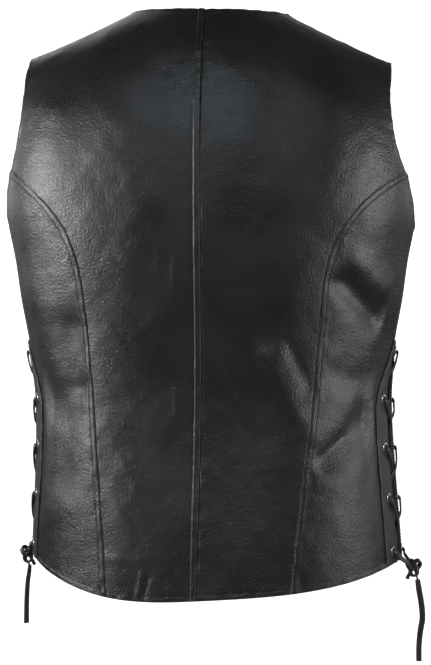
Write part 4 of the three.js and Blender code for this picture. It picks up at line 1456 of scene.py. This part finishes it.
# Studio, in metres
STAGE_RADIUS = 12
STAGE_CURVE = 2.6
STAGE_HEIGHT = 10
STAGE_SEGMENTS = 96
FLOOR_Z = -0.72
GLOW_BEHIND = 0.75
GLOW_BEFORE = 0.35
MIDDLE = (0, 0, -0.34)
SHOULDER_BLADES = (0, 0, -0.2)
COOL = (0.82, 0.92, 1)


def make_stage():
    """A pale floor that curves up all round into a pale wall."""
    bend = STAGE_RADIUS - STAGE_CURVE
    profile = [(0.0, 0.0), (1.5, 0.0), (bend, 0.0)]
    profile += [
        (bend + STAGE_CURVE * math.sin(a), STAGE_CURVE * (1 - math.cos(a)))
        for a in np.linspace(0.15, math.pi / 2, 10)
    ]
    profile.append((STAGE_RADIUS, STAGE_HEIGHT))
    angles = np.linspace(0, 2 * math.pi, STAGE_SEGMENTS, endpoint=False)
    vertices = np.array([
        (radius * math.cos(a), radius * math.sin(a), FLOOR_Z + height)
        for radius, height in profile
        for a in angles
    ])
    faces = tube_faces(len(profile), STAGE_SEGMENTS)
    stage = new_object("stage", vertices / MM, faces, [studio_paper("studio_paper")])
    behind = smooth(0.5 - vertices[:, 1] / (1.4 * STAGE_RADIUS))
    add_attribute(stage, "glow", lerp(GLOW_BEFORE, GLOW_BEHIND, behind))
    stage.visible_glossy = False
    stage.visible_shadow = False


def soft_light(name, place_at, aim, size, power, colour=(1, 1, 1), fan=180):
    data = bpy.data.lights.new(name, "AREA")
    data.shape = "RECTANGLE"
    data.size, data.size_y = size
    data.energy = power
    data.color = colour
    data.spread = math.radians(fan)
    lamp = bpy.data.objects.new(name, data)
    lamp.location = place_at
    lamp.visible_camera = False
    lamp.rotation_euler = (Vector(aim) - Vector(place_at)).to_track_quat("-Z", "Y").to_euler()
    bpy.context.scene.collection.objects.link(lamp)


make_stage()
soft_light("low_light_left", (1.85, 1.2, -1.0), MIDDLE, (0.6, 0.8), 3)
soft_light("low_light_right", (-1.85, 1.2, -1.0), MIDDLE, (0.7, 0.8), 2.5)
soft_light("high_light_left", (1.1, 0.42, -0.15), SHOULDER_BLADES, (0.8, 0.3), 3.4, fan=75)
soft_light("high_light_right", (-1.1, 0.36, -0.2), SHOULDER_BLADES, (0.8, 0.4), 2, fan=95)
soft_light("rear_light_left", (1.75, -1.3, 0.1), MIDDLE, (1.1, 0.8), 5)
soft_light("rear_light_right", (-1.75, -1.3, 0.1), MIDDLE, (1.1, 0.8), 4)
soft_light("upper_light", (0.1, 2.5, 1.2), MIDDLE, (1.5, 0.7), 16, COOL)
soft_light("front_light", (0.5, -2.4, 1.3), MIDDLE, (1.6, 1.2), 9)
world = bpy.data.worlds.new("world")
bpy.context.scene.world = world
world.use_nodes = True
sky = world.node_tree.nodes["Background"].inputs
sky["Color"].default_value = (0.9, 0.95, 1, 1)
sky["Strength"].default_value = 0.09
bpy.context.scene.view_settings.view_transform = "Standard"
